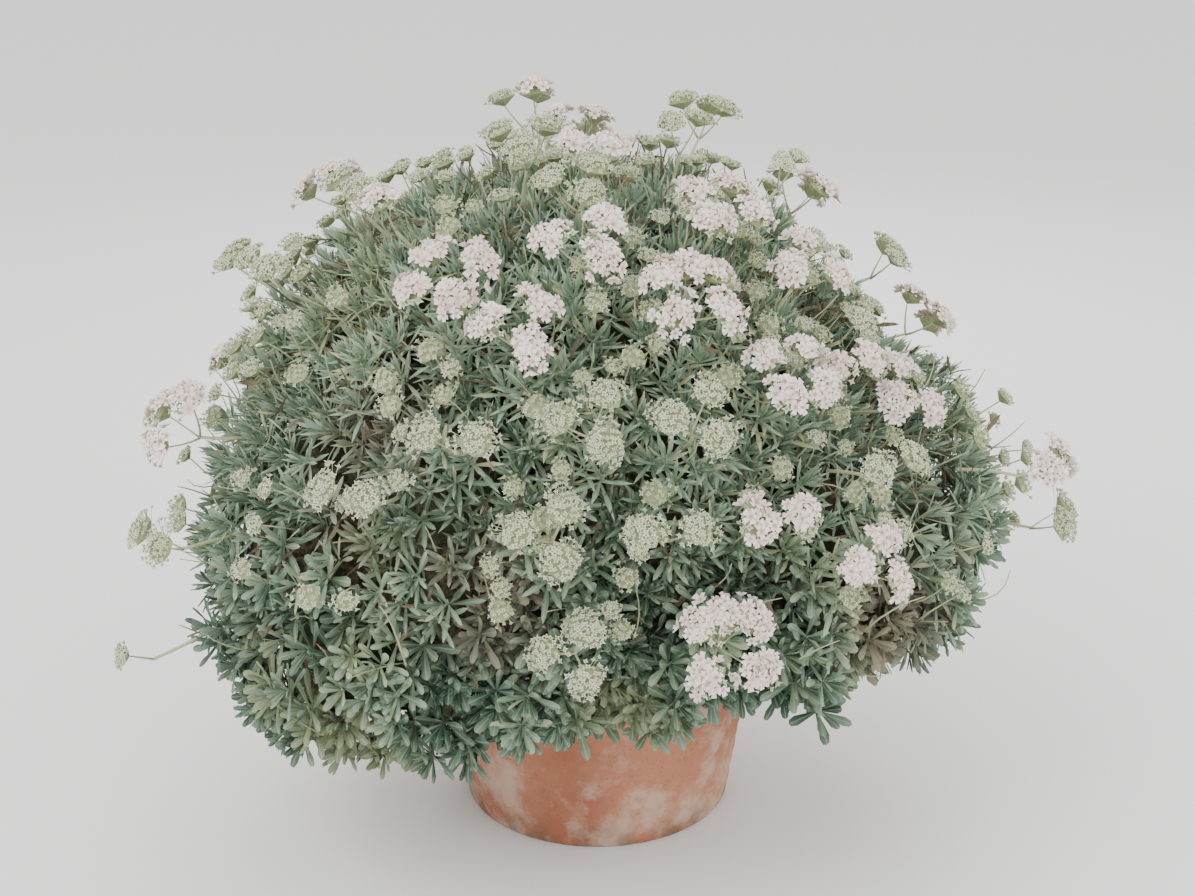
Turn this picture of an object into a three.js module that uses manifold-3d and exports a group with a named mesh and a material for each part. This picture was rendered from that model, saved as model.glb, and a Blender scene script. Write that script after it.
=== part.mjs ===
// Santa Cruz Island buckwheat in a plain terracotta pot, in millimetres, +Z up.
// The origin is the centre of the pot's flat base. The front of the mound faces -Y.
//
// The shrub is a short trunk whose limbs each carry one leafy branch. A leafy branch has a dense
// core that its rosettes of leaves and its flower stems stand out of. Every branch fills its own
// cone round the crown, so neighbours never meet. Heads still in bud grow on their branch, and
// each spray of open blooms is a piece of its own that stands on the flat end of its stem.
import * as THREE from "three";
import { mergeVertices } from "three/addons/utils/BufferGeometryUtils.js";
import Module from "manifold-3d";

const wasm = await Module();
wasm.setup();

// Pot and soil
const potHeight = 370;
const potBaseRadius = 182;
const potWaistRadius = 230;
const potRimRadius = 250;
const potRimDepth = 48;
const potWall = 15;
const potFloor = 20;
const potEdge = 4;
const potSides = 32;
const drainRadius = 9;
const drainOffset = 100;
const drainCount = 3;
const soilLevel = 338;
const soilCrown = 6; // how much higher the soil is in the middle
const seat = 0.3; // clearance between pieces that touch

// Mound: how far the leaf tips reach from the crown, on each side
const crown = new THREE.Vector3(0, 0, 530);
const up = new THREE.Vector3(0, 0, 1);
const reachLeft = 500;
const reachRight = 555;
const reachFront = 470;
const reachBack = 450;
const reachUp = 380;
const reachDown = 430;
const squareness = 2.5;
const rightSlope = 1.35; // how much the right shoulder falls away
const leftSlope = 0.4;
const slopeGain = 5; // how soon the slopes set in above the widest line
const bulge = { azimuth: -148, elevation: -28, amount: 0.17, width: 0.6 }; // where it hangs over
const skirtLow = 27; // degrees below the crown where the mound ends
const skirtDrop = 9; // further degrees at the front left, where it hangs lowest
const skirtDropAt = -142;

// Wood
const trunkRadius = 25;
const trunkTopRadius = 20;
const trunkDepth = 55;
const trunkTop = 460;
const trunkSides = 6;
const boughCount = 5;
const boughReach = 92;
const boughRise = 38;
const boughRadius = [14, 12];
const boughSides = 4;
const limbRadius = [6, 5];
const limbSides = 3;

// Leafy branches, as shares of the reach and of the width of a branch's cone
const branchCount = 20;
const branchLow = 14; // degrees below the crown of the lowest branches
const branchFoot = { at: 0.37, spread: 0.2 };
const branchWaist = { at: 0.56, spread: 0.84 };
const branchRim = { at: 0.73, spread: 1 };
const branchTufts = [
  { spread: 0.74, high: 0.79, low: 0.7 },
  { spread: 0.38, high: 0.81, low: 0.72 },
];
const branchTop = 0.76;
const coreSkirt = 0.87; // share of the skirt's depth that the cores reach
const branchShrink = 0.0034; // leaves under 1 mm between neighbours

// Leaves
const rosetteSpacing = 109; // least distance between rosettes
const rosetteTrials = 900; // places tried for those between the flowering ones
const leafLength = 90;
const broadLeaves = 7;
const broadWidth = 0.27; // shares of the leaf's length
const narrowLeaves = 8;
const narrowWidth = 0.17;
const narrowAbove = 0.3; // height on the unit sphere where the narrow leaves begin
const broadEye = 0.17; // radius where neighbouring leaves part, as a share of the length
const narrowEye = 0.2;
const leafRidge = 2.4;
const leafDepth = 0.7;
const leafTilts = [17, 52]; // degrees above the rosette's plane, outer and inner leaves
const rootShare = 0.62;
const rootRoom = 22;
const borderRoom = 34;

// Blooms
const stemRadius = [3.4, 2.4];
const stemSink = 6;
const stemRoom = 9;
const forkDepth = 4;
const rayLength = 28;
const rayTaper = 0.6;
const openFlorets = 5; // round the rim of a cluster
const budFlorets = 4;
const bloomLift = 4; // least height of a cluster above the leaf tips

// Sprays of blooms: azimuth round the pot and elevation from the crown, in degrees, the number of
// clusters of florets, the radius of one, and how far the fork stands above the leaf tips.
const openSprays = [
  { azimuth: 170, elevation: 79, clusters: 1, radius: 25, lift: 20 },
  { azimuth: -92, elevation: 66, clusters: 2, radius: 22, lift: 0 },
  { azimuth: -134, elevation: 44, clusters: 1, radius: 25, lift: 12 },
  { azimuth: -114, elevation: 35, clusters: 4, radius: 24, lift: 0 },
  { azimuth: -92, elevation: 42, clusters: 3, radius: 26, lift: 0 },
  { azimuth: -101, elevation: 29, clusters: 3, radius: 25, lift: 0 },
  { azimuth: -75, elevation: 34, clusters: 5, radius: 25, lift: 0 },
  { azimuth: -61, elevation: 49, clusters: 4, radius: 24, lift: 0 },
  { azimuth: -47, elevation: 40, clusters: 3, radius: 24, lift: 0 },
  { azimuth: -61, elevation: 22, clusters: 4, radius: 22, lift: 0 },
  { azimuth: -48, elevation: 21, clusters: 2, radius: 25, lift: 0 },
  { azimuth: -35, elevation: 14, clusters: 3, radius: 25, lift: 8 },
  { azimuth: -25, elevation: 2, clusters: 2, radius: 25, lift: 8 },
  { azimuth: -68, elevation: 5, clusters: 2, radius: 24, lift: 0 },
  { azimuth: -56, elevation: -2, clusters: 3, radius: 21, lift: 0 },
  { azimuth: -74, elevation: -11, clusters: 5, radius: 25, lift: 0 },
  { azimuth: -152, elevation: 8, clusters: 3, radius: 26, lift: 4 },
  { azimuth: 25, elevation: 8, clusters: 3, radius: 25, lift: 0 },
  { azimuth: 30, elevation: 40, clusters: 3, radius: 25, lift: 0 },
  { azimuth: 62, elevation: 22, clusters: 4, radius: 25, lift: 0 },
  { azimuth: 96, elevation: 44, clusters: 4, radius: 25, lift: 0 },
  { azimuth: 98, elevation: 3, clusters: 3, radius: 25, lift: 0 },
  { azimuth: 128, elevation: 21, clusters: 3, radius: 25, lift: 0 },
  { azimuth: 152, elevation: 33, clusters: 3, radius: 25, lift: 0 },
  { azimuth: 160, elevation: 2, clusters: 2, radius: 25, lift: 0 },
];
const paleSprays = [
  { azimuth: -120, elevation: 66, clusters: 3, radius: 25, lift: 6 },
  { azimuth: -45, elevation: 70, clusters: 2, radius: 21, lift: 14 },
  { azimuth: -97, elevation: 54, clusters: 3, radius: 23, lift: 0 },
  { azimuth: -147, elevation: 45, clusters: 2, radius: 24, lift: 14 },
  { azimuth: -149, elevation: 30, clusters: 2, radius: 23, lift: 18 },
  { azimuth: -50, elevation: 8, clusters: 2, radius: 24, lift: 0 },
  { azimuth: -77, elevation: 18, clusters: 3, radius: 24, lift: 0 },
  { azimuth: -91, elevation: 18, clusters: 3, radius: 25, lift: 0 },
  { azimuth: -108, elevation: 15, clusters: 2, radius: 25, lift: 0 },
  { azimuth: -96, elevation: 4, clusters: 3, radius: 25, lift: 0 },
  { azimuth: -81, elevation: 4, clusters: 2, radius: 25, lift: 0 },
  { azimuth: -93, elevation: -12, clusters: 3, radius: 23, lift: 0 },
];
const budSprays = [
  { azimuth: -147, elevation: -4, clusters: 2, radius: 25, lift: 6 },
  { azimuth: -37, elevation: 53, clusters: 2, radius: 16, lift: 40 },
  { azimuth: -40, elevation: 27, clusters: 1, radius: 23, lift: 6 },
  { azimuth: -16, elevation: -8, clusters: 2, radius: 25, lift: 10 },
  { azimuth: -152, elevation: -18, clusters: 1, radius: 16, lift: 36 },
  { azimuth: -120, elevation: 7, clusters: 2, radius: 24, lift: 0 },
  { azimuth: 5, elevation: 28, clusters: 2, radius: 24, lift: 0 },
  { azimuth: 45, elevation: 62, clusters: 3, radius: 25, lift: 6 },
  { azimuth: 50, elevation: 2, clusters: 2, radius: 24, lift: 0 },
  { azimuth: 80, elevation: -6, clusters: 2, radius: 23, lift: 0 },
  { azimuth: 85, elevation: 28, clusters: 2, radius: 25, lift: 0 },
  { azimuth: 118, elevation: 60, clusters: 2, radius: 24, lift: 6 },
  { azimuth: 128, elevation: -4, clusters: 2, radius: 24, lift: 0 },
  { azimuth: 178, elevation: 24, clusters: 2, radius: 24, lift: 0 },
];

// Colours
const terracotta = new THREE.MeshStandardMaterial({ color: 0xa9705a, roughness: 0.9 });
const earth = new THREE.MeshStandardMaterial({ color: 0x3d3128, roughness: 1 });
const bark = new THREE.MeshStandardMaterial({ color: 0x6d5f52, roughness: 0.95 });
const foliage = new THREE.MeshStandardMaterial({ color: 0x6f8a76, roughness: 0.75 });
const pale = new THREE.MeshStandardMaterial({ color: 0xb9bca4, roughness: 0.85 });
const blossom = new THREE.MeshStandardMaterial({ color: 0xe6d6d0, roughness: 0.8 });

// Small helpers
const radians = THREE.MathUtils.degToRad;
const vector = (x, y, z) => new THREE.Vector3(x, y, z);
const turn = Math.PI * 2;
const goldenTurn = Math.PI * (3 - Math.sqrt(5));

// A fixed draw between 0 and 1 for the given seed numbers
function draw(seed, salt) {
  const wave = Math.sin(seed * 12.9898 + salt * 78.233) * 43758.5453;
  return wave - Math.floor(wave);
}

function toward(azimuth, elevation) {
  const a = radians(azimuth);
  const e = radians(elevation);
  return vector(Math.cos(e) * Math.cos(a), Math.cos(e) * Math.sin(a), Math.sin(e));
}

function sidesOf(axis) {
  const across = vector(0, 0, 1).cross(axis);
  if (across.length() < 1e-3) across.set(1, 0, 0);
  across.normalize();
  return [across, axis.clone().cross(across).normalize()];
}

// Directions spread evenly over the part of a sphere above the given elevation
function evenDirections(count, lowest, phase) {
  const span = 1 - Math.sin(radians(lowest));
  return Array.from({ length: count }, (_, i) => {
    const z = 1 - ((i + 0.5) / count) * span;
    const a = i * goldenTurn + phase;
    const flat = Math.sqrt(1 - z * z);
    return vector(flat * Math.cos(a), flat * Math.sin(a), z);
  });
}

// A closed mesh through rings of equal size; a ring of one point is a pole, and an open end is capped
function loft(rings) {
  const places = [];
  const faces = [];
  const starts = rings.map((ring) => {
    const start = places.length / 3;
    ring.forEach((p) => places.push(p.x, p.y, p.z));
    return start;
  });
  const count = Math.max(...rings.map((ring) => ring.length));
  for (let r = 0; r + 1 < rings.length; r++) {
    for (let j = 0; j < count; j++) {
      const k = (j + 1) % count;
      const [a, b] = [starts[r], starts[r + 1]];
      if (rings[r].length > 1) faces.push(a + j, a + k, rings[r + 1].length > 1 ? b + k : b);
      if (rings[r + 1].length > 1) faces.push(rings[r].length > 1 ? a + j : a, b + k, b + j);
    }
  }
  const last = rings.length - 1;
  for (let j = 1; j + 1 < count; j++) {
    if (rings[0].length > 1) faces.push(starts[0], starts[0] + j + 1, starts[0] + j);
    if (rings[last].length > 1) faces.push(starts[last], starts[last] + j, starts[last] + j + 1);
  }
  return shell(places, faces);
}

function shell(places, faces) {
  const geometry = new THREE.BufferGeometry();
  geometry.setAttribute("position", new THREE.Float32BufferAttribute(places, 3));
  geometry.setIndex(faces);
  return geometry;
}

function ringOf(centre, axis, radius, sides, spin = 0) {
  const [across, along] = sidesOf(axis);
  return Array.from({ length: sides }, (_, j) => {
    const a = (j / sides) * turn + spin;
    return centre
      .clone()
      .addScaledVector(across, radius * Math.cos(a))
      .addScaledVector(along, radius * Math.sin(a));
  });
}

// A straight tapered stem
function stem(from, to, radii, sides, endAxis) {
  const axis = to.clone().sub(from).normalize();
  return solid(
    loft([
      ringOf(from, axis, radii[0], sides),
      ringOf(to, endAxis ?? axis, radii[1], sides),
    ]),
  );
}

function solid(geometry) {
  const bare = geometry.clone();
  bare.deleteAttribute("normal");
  bare.deleteAttribute("uv");
  const merged = mergeVertices(bare, 1e-3);
  return new wasm.Manifold(
    new wasm.Mesh({
      numProp: 3,
      vertProperties: merged.attributes.position.array,
      triVerts: new Uint32Array(merged.index.array),
    }),
  );
}

function fused(solids) {
  return wasm.Manifold.union(solids);
}

// The branch itself, without any loose scrap that fusing leaves
function largestBody(manifold) {
  return manifold.decompose().reduce((a, b) => (b.volume() > a.volume() ? b : a));
}

function node(name, manifold, material) {
  const made = manifold.getMesh();
  const geometry = new THREE.BufferGeometry();
  geometry.setAttribute("position", new THREE.BufferAttribute(made.vertProperties, 3));
  geometry.setIndex(new THREE.BufferAttribute(made.triVerts, 1));
  const mesh = new THREE.Mesh(geometry.toNonIndexed(), material);
  mesh.geometry.computeVertexNormals();
  mesh.name = name;
  return mesh;
}

// Shape of the mound: the distance from the crown to the leaf tips in a direction
const bulgeAxis = toward(bulge.azimuth, bulge.elevation);

function reachOf(direction) {
  const { x, y, z } = direction;
  const slope = x < 0 ? -leftSlope * x : rightSlope * x;
  const power = squareness - slope * THREE.MathUtils.clamp(slopeGain * z, 0, 1);
  const sideways = Math.abs(x) / (x < 0 ? reachLeft : reachRight);
  const deep = Math.abs(y) / (y < 0 ? reachFront : reachBack);
  const high = Math.abs(z) / (z > 0 ? reachUp : reachDown);
  const away = direction.angleTo(bulgeAxis) / bulge.width;
  const swell = 1 + bulge.amount * Math.exp(-away * away);
  return swell * (sideways ** power + deep ** power + high ** power) ** (-1 / power);
}

function reachPoint(direction, share, extra = 0) {
  return crown.clone().addScaledVector(direction, reachOf(direction) * share + extra);
}

function lowestAt(azimuth) {
  return -skirtLow - skirtDrop * Math.max(0, Math.cos(azimuth - radians(skirtDropAt))) ** 2;
}

// Cones of the leafy branches
const branchAxes = evenDirections(branchCount, -branchLow, 0.4);
const branchBorders = branchAxes.map((axis, i) =>
  branchAxes.filter((_, j) => j !== i).map((other) => axis.clone().sub(other).normalize()),
);

// The plane through the crown that a branch's core stays above
const branchFloors = branchAxes.map((axis) => {
  const azimuth = Math.atan2(axis.y, axis.x);
  const low = radians(coreSkirt * lowestAt(azimuth));
  const flat = vector(Math.cos(azimuth), Math.sin(azimuth), 0);
  return flat.multiplyScalar(-Math.sin(low)).setZ(Math.cos(low));
});

// How far a point lies inside a branch's cone
function roomIn(branch, point) {
  const offset = point.clone().sub(crown);
  return Math.min(...branchBorders[branch].map((border) => border.dot(offset)));
}

function branchAt(direction) {
  const nearness = branchAxes.map((axis) => axis.dot(direction));
  return nearness.indexOf(Math.max(...nearness));
}

// The direction moved towards the branch's axis until it is clear of the cone's sides
function movedInside(branch, direction, room) {
  const moved = direction.clone();
  for (let i = 0; i < 40 && roomIn(branch, reachPoint(moved, 0.9)) < room; i++) {
    moved.lerp(branchAxes[branch], 0.06).normalize();
  }
  return moved;
}

// The cone's outline on the plane one unit along its axis, cut from a wide square
function coneOutline(branch) {
  const axis = branchAxes[branch];
  const [across, along] = sidesOf(axis);
  const wide = 3;
  let outline = [
    [-wide, -wide],
    [wide, -wide],
    [wide, wide],
    [-wide, wide],
  ];
  for (const border of [...branchBorders[branch], branchFloors[branch]]) {
    const side = ([x, y]) => border.dot(axis) + x * border.dot(across) + y * border.dot(along);
    outline = outline.flatMap((p, i) => {
      const q = outline[(i + 1) % outline.length];
      const [here, there] = [side(p), side(q)];
      const kept = here >= 0 ? [p] : [];
      if (here >= 0 === there >= 0) return kept;
      const t = here / (here - there);
      return [...kept, [p[0] + (q[0] - p[0]) * t, p[1] + (q[1] - p[1]) * t]];
    });
  }
  // Corners closer than this share of a radian are one
  const least = 0.05;
  return outline.filter((p, i) => {
    const q = outline[(i + 1) % outline.length];
    return Math.hypot(p[0] - q[0], p[1] - q[1]) > least;
  });
}

// The dense inside of a leafy branch: a flat foot on its limb, widening to a crown of tufts that
// stand up in turn from two rings and the middle
function branchCore(branch) {
  const axis = branchAxes[branch];
  const [across, along] = sidesOf(axis);
  const outline = coneOutline(branch);
  const places = [];
  const faces = [];
  const put = (p) => places.push(p.x, p.y, p.z) / 3 - 1;
  const spot = ([x, y], spread) =>
    axis
      .clone()
      .addScaledVector(across, x * spread)
      .addScaledVector(along, y * spread);
  const ring = ({ at, spread }) =>
    outline.map((p) => put(reachPoint(spot(p, spread * (1 - branchShrink)).normalize(), at)));
  const footHeight = branchFoot.at * reachOf(axis);
  const foot = outline.map((p) =>
    put(crown.clone().addScaledVector(spot(p, branchFoot.spread), footHeight)),
  );
  for (let j = 1; j + 1 < foot.length; j++) faces.push(foot[0], foot[j + 1], foot[j]);
  const rim = ring(branchRim);
  const waist = ring(branchWaist);
  bridge(faces, foot, waist);
  bridge(faces, waist, rim);
  const doubled = outline.flatMap((p, i) => {
    const q = outline[(i + 1) % outline.length];
    return [p, [(p[0] + q[0]) / 2, (p[1] + q[1]) / 2]];
  });
  const [outer, inner] = branchTufts.map(({ spread, high, low }, r) =>
    doubled.map((p, j) => {
      const share = j % 2 === r ? high : low;
      return put(reachPoint(spot(p, spread).normalize(), share + 0.03 * draw(branch + j, 70 + r)));
    }),
  );
  rim.forEach((here, j) => {
    const next = rim[(j + 1) % rim.length];
    const [a, b, c] = [outer[2 * j], outer[2 * j + 1], outer[(2 * j + 2) % outer.length]];
    faces.push(here, b, a, here, next, b, next, c, b);
  });
  bridge(faces, outer, inner);
  const middle = put(reachPoint(axis, branchTop));
  inner.forEach((here, j) => faces.push(here, inner[(j + 1) % inner.length], middle));
  return solid(shell(places, faces));
}

// Where a rosette sits, and how large it is
function rosettePlace(direction, seed) {
  const branch = branchAt(direction);
  const spot = movedInside(branch, direction, borderRoom);
  const rise = THREE.MathUtils.clamp(0.15 + 0.4 * spot.z, 0, 0.4);
  const axis = spot.clone().addScaledVector(up, rise).normalize();
  const length = leafLength * (0.92 + 0.16 * draw(seed, 1));
  const centre = reachPoint(spot, 1, -leafDepth * length);
  return { branch, broad: spot.z < narrowAbove, axis, length, centre, seed };
}

// One rosette: a star of ridged leaves on a tapering shoot that is sunk in the core. Low on the
// mound the leaves are broad and blunt, and high up they are narrow and pointed.
function rosette({ branch, broad, axis, length, centre, seed }) {
  const [across, along] = sidesOf(axis);
  const leaves = broad ? broadLeaves : narrowLeaves;
  const width = length * (broad ? broadWidth : narrowWidth);
  const places = [];
  const faces = [];
  const put = (p) => places.push(p.x, p.y, p.z) / 3 - 1;
  const top = put(centre.clone().addScaledVector(axis, 0.1 * length));
  const bottom = put(rootOf(branch, centre));
  const spin = draw(seed, 2) * turn;
  const outward = (k) => {
    const angle = spin + (k / leaves) * turn;
    return across.clone().multiplyScalar(Math.cos(angle)).addScaledVector(along, Math.sin(angle));
  };
  const notches = Array.from({ length: leaves }, (_, k) =>
    put(centre.clone().addScaledVector(outward(k + 0.5), (broad ? broadEye : narrowEye) * length)),
  );
  for (let k = 0; k < leaves; k++) {
    const leaf = placedLeaf(branch, centre, axis, outward(k), length, width, seed + k / 10, k % 2);
    const [ridge, right, tip, left] = [leaf.ridge, leaf.right, leaf.tip, leaf.left].map(put);
    const before = notches[(k + leaves - 1) % leaves];
    const after = notches[k];
    faces.push(bottom, after, before);
    if (broad && k % 2 === 0) {
      const rim = [top, before, right, tip, left, after];
      rim.forEach((p, i) => faces.push(ridge, p, rim[(i + 1) % rim.length]));
      faces.push(after, left, right, after, right, before, left, tip, right);
    } else {
      faces.push(top, before, tip, top, tip, after, before, after, tip);
    }
  }
  return solid(shell(places, faces));
}

// The point in the core where a shoot that ends at the given place starts
function rootOf(branch, place) {
  const direction = place.clone().sub(crown).normalize();
  const sunk = (moved) => {
    const root = reachPoint(moved, rootShare);
    return Math.min(roomIn(branch, root), root.clone().sub(crown).dot(branchFloors[branch]));
  };
  for (let i = 0; i < 40 && sunk(direction) < rootRoom; i++) {
    direction.lerp(branchAxes[branch], 0.06).normalize();
  }
  return reachPoint(direction, rootShare);
}

// A leaf's corners, raised and shortened until it is inside its branch's cone and the mound
function placedLeaf(branch, centre, axis, flat, length, width, seed, inner) {
  const side = axis.clone().cross(flat);
  let tilt = radians(leafTilts[inner] + 14 * (draw(seed, 4) - 0.5));
  let long = length * (inner ? 0.86 : 1) * (0.9 + 0.2 * draw(seed, 5));
  for (let tries = 0; ; tries++) {
    const out = flat
      .clone()
      .multiplyScalar(Math.cos(tilt))
      .addScaledVector(axis, Math.sin(tilt));
    const normal = out.clone().cross(side).negate();
    const at = (share, sideways, lift) =>
      centre
        .clone()
        .addScaledVector(out, long * share)
        .addScaledVector(side, width * sideways)
        .addScaledVector(normal, lift);
    const leaf = {
      ridge: at(0.55, 0, -leafRidge),
      right: at(0.62, -0.5, 0),
      tip: at(1, 0, long * 0.06),
      left: at(0.62, 0.5, 0),
    };
    const corners = Object.values(leaf);
    const crowded = corners.some((p) => roomIn(branch, p) < 1.5);
    const offset = leaf.tip.clone().sub(crown);
    const over = offset.length() - reachOf(offset.clone().normalize());
    if ((!crowded && over < 0) || tries > 40) return leaf;
    if (crowded && tilt < radians(78)) tilt += radians(5);
    else long *= 0.95;
  }
}

// Places of the clusters in a spray, in cluster radii from its middle, going round its axis
function clusterSpots(count) {
  if (count === 1) return [[0, 0]];
  if (count === 5) return [[1.15, 0.95], [0, 1.25], [-1.15, 0.95], [-1.1, -1.15], [1.1, -1.15]];
  const radius = { 2: 1.12, 3: 1.3, 4: 1.58 }[count];
  return Array.from({ length: count }, (_, i) => {
    const a = ((i + 0.5) / count) * turn + (count === 2 ? -Math.PI / 2 : 0);
    return [radius * Math.cos(a), radius * Math.sin(a)];
  });
}

// A spray: the fork of its stem, and the foot and axis of each cluster, lifted clear of the leaves
function placedSpray(spray, florets, seed) {
  const wanted = toward(spray.azimuth, spray.elevation);
  const branch = branchAt(wanted);
  const direction = movedInside(branch, wanted, stemRoom);
  const axis = direction.clone().multiplyScalar(0.6).addScaledVector(up, 0.4).normalize();
  const [across, along] = sidesOf(axis);
  const spots = clusterSpots(spray.clusters);
  for (let lift = spray.lift; ; lift += 3) {
    const fork = reachPoint(direction, 1, lift);
    const clusters = spots.map(([x, y], i) => {
      const rim = axis
        .clone()
        .multiplyScalar(rayLength + 0.5 * spray.radius)
        .addScaledVector(across, x * spray.radius)
        .addScaledVector(along, y * spray.radius);
      const facing = rim.clone().normalize().lerp(axis, 0.5).normalize();
      return {
        foot: fork.clone().add(rim).addScaledVector(facing, -0.5 * spray.radius),
        axis: facing,
        radius: spray.radius * (0.94 + 0.1 * draw(seed, 40 + i)),
      };
    });
    const low = clusters.flatMap(({ foot, axis: facing, radius }) => [
      foot,
      ...ringOf(foot.clone().addScaledVector(facing, radius * 0.48), facing, radius, 8),
    ]);
    const clear = low.every((p) => {
      const offset = p.clone().sub(crown);
      return offset.length() > reachOf(offset.clone().normalize()) + bloomLift;
    });
    if (clear) {
      const rosetteBelow = rosettePlace(direction, seed);
      return { branch, direction, axis, fork, clusters, spots, florets, seed, rosetteBelow };
    }
  }
}

// The closed surface of a spray: a short or long stem, a ray from each sector of its end, and on
// each ray a cone of pedicels under a dome of florets, some round the rim and some raised.
function spraySolid(placed, base) {
  const { axis, fork, clusters, spots, florets, seed } = placed;
  const [across, along] = sidesOf(axis);
  const places = [];
  const faces = [];
  const put = (p) => places.push(p.x, p.y, p.z) / 3 - 1;
  const pointOf = (index) => vector(...places.slice(3 * index, 3 * index + 3));
  const angles = spots.map(([x, y]) => Math.atan2(y, x));
  const borders = angles.flatMap((angle, i) => {
    const next = (angles[(i + 1) % angles.length] - angle + turn) % turn || turn;
    const steps = angles.length < 3 ? [0, 0.5] : [0.5];
    return steps.map((step) => angle + next * step);
  });
  if (spots.length === 1) borders.splice(0, 2, 0, turn / 3, (2 * turn) / 3);
  const around = (centre, radius) =>
    borders.map((angle) =>
      put(
        centre
          .clone()
          .addScaledVector(across, radius * Math.cos(angle))
          .addScaledVector(along, radius * Math.sin(angle)),
      ),
    );
  const bottom = around(base, stemRadius[0]);
  const top = around(fork, stemRadius[1]);
  bridge(faces, bottom, top);
  for (let j = 1; j + 1 < bottom.length; j++) faces.push(bottom[0], bottom[j + 1], bottom[j]);
  const middle = spots.length === 1 ? null : put(fork);
  clusters.forEach((cluster, i) => {
    const last = borders.length;
    let loop = top;
    if (spots.length === 2) loop = [middle, top[(2 * i + 3) % last], top[2 * i], top[2 * i + 1]];
    if (spots.length > 2) loop = [middle, top[(i + last - 1) % last], top[i]];
    const centre = vector(0, 0, 0);
    loop.forEach((index) => centre.addScaledVector(pointOf(index), 1 / loop.length));
    const neck = loop.map((index) =>
      put(pointOf(index).sub(centre).multiplyScalar(rayTaper).add(cluster.foot)),
    );
    bridge(faces, loop, neck);
    addHead(faces, put, pointOf, neck, cluster, florets, seed + i);
  });
  return solid(shell(places, faces));
}

// The dome of florets on a neck
function addHead(faces, put, pointOf, neck, { foot, axis, radius }, florets, seed) {
  const [across, along] = sidesOf(axis);
  const spin = (draw(seed, 3) / florets) * turn;
  const at = (step, out, height) => {
    const angle = spin + (step / florets) * turn;
    return put(
      foot
        .clone()
        .addScaledVector(across, radius * out * Math.cos(angle))
        .addScaledVector(along, radius * out * Math.sin(angle))
        .addScaledVector(axis, radius * height),
    );
  };
  const middle = at(0, 0, 0.8);
  const rim = [];
  const peaks = [];
  for (let k = 0; k < florets; k++) {
    rim.push(at(k, 1, 0.48 + 0.08 * draw(seed, 30 + k)), at(k + 0.5, 0.72, 0.46));
    peaks.push(at(k + 0.5, 0.55, 0.88 + 0.08 * draw(seed, 50 + k)));
  }
  const angleOf = (index) => {
    const offset = pointOf(index).sub(foot);
    return Math.atan2(offset.dot(along), offset.dot(across));
  };
  bridge(faces, neck, rim, angleOf);
  for (let k = 0; k < florets; k++) {
    const next = (k + 1) % florets;
    const [tip, notch, nextTip] = [rim[2 * k], rim[2 * k + 1], rim[2 * next]];
    faces.push(tip, notch, peaks[k], notch, nextTip, peaks[k]);
    faces.push(peaks[k], nextTip, peaks[next], middle, peaks[k], peaks[next]);
  }
}

// Faces between a lower and an upper loop; loops of unlike size are matched by the angle round them
function bridge(faces, lower, upper, angleOf) {
  if (!angleOf) {
    lower.forEach((here, i) => {
      const j = (i + 1) % lower.length;
      faces.push(here, lower[j], upper[j], here, upper[j], upper[i]);
    });
    return;
  }
  const after = (a, b) => (angleOf(b) - angleOf(a) + 2 * turn) % turn;
  const first = upper.reduce((a, b) => (after(lower[0], b) < after(lower[0], a) ? b : a));
  const start = upper.indexOf(first);
  const high = upper.map((_, i) => upper[(start + i) % upper.length]);
  const lowTurns = lower.map((index, i) => (i ? after(lower[0], index) : 0)).concat(turn);
  const highTurns = high.map((index) => after(lower[0], index));
  highTurns.push(highTurns[0] + turn);
  let [i, j] = [0, 0];
  while (i < lower.length || j < high.length) {
    const [low, top] = [lower[i % lower.length], high[j % high.length]];
    const raiseLow = j === high.length || (i < lower.length && lowTurns[i + 1] <= highTurns[j + 1]);
    if (raiseLow) {
      faces.push(low, lower[(i + 1) % lower.length], top);
      i += 1;
    } else {
      faces.push(low, high[(j + 1) % high.length], top);
      j += 1;
    }
  }
}

// A leafy branch with everything that grows on it
function leafyBranch(branch) {
  const mine = (list) => list.filter((item) => item.branch === branch);
  const footOf = ({ rosetteBelow: { centre, axis } }) => centre.clone().addScaledVector(axis, -stemSink);
  const stems = mine(seated).map((placed) => {
    const end = placed.fork.clone().addScaledVector(placed.axis, -forkDepth - seat);
    return stem(footOf(placed), end, stemRadius, 3, placed.axis);
  });
  const buds = mine(budPlaced).map((placed) => spraySolid(placed, footOf(placed)));
  return largestBody(fused([branchCore(branch), ...mine(rosettes).map(rosette), ...stems, ...buds]));
}

// A spray that is a piece of its own stands on its stem's flat end
function openSpray(placed) {
  return spraySolid(placed, placed.fork.clone().addScaledVector(placed.axis, -forkDepth));
}

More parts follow.
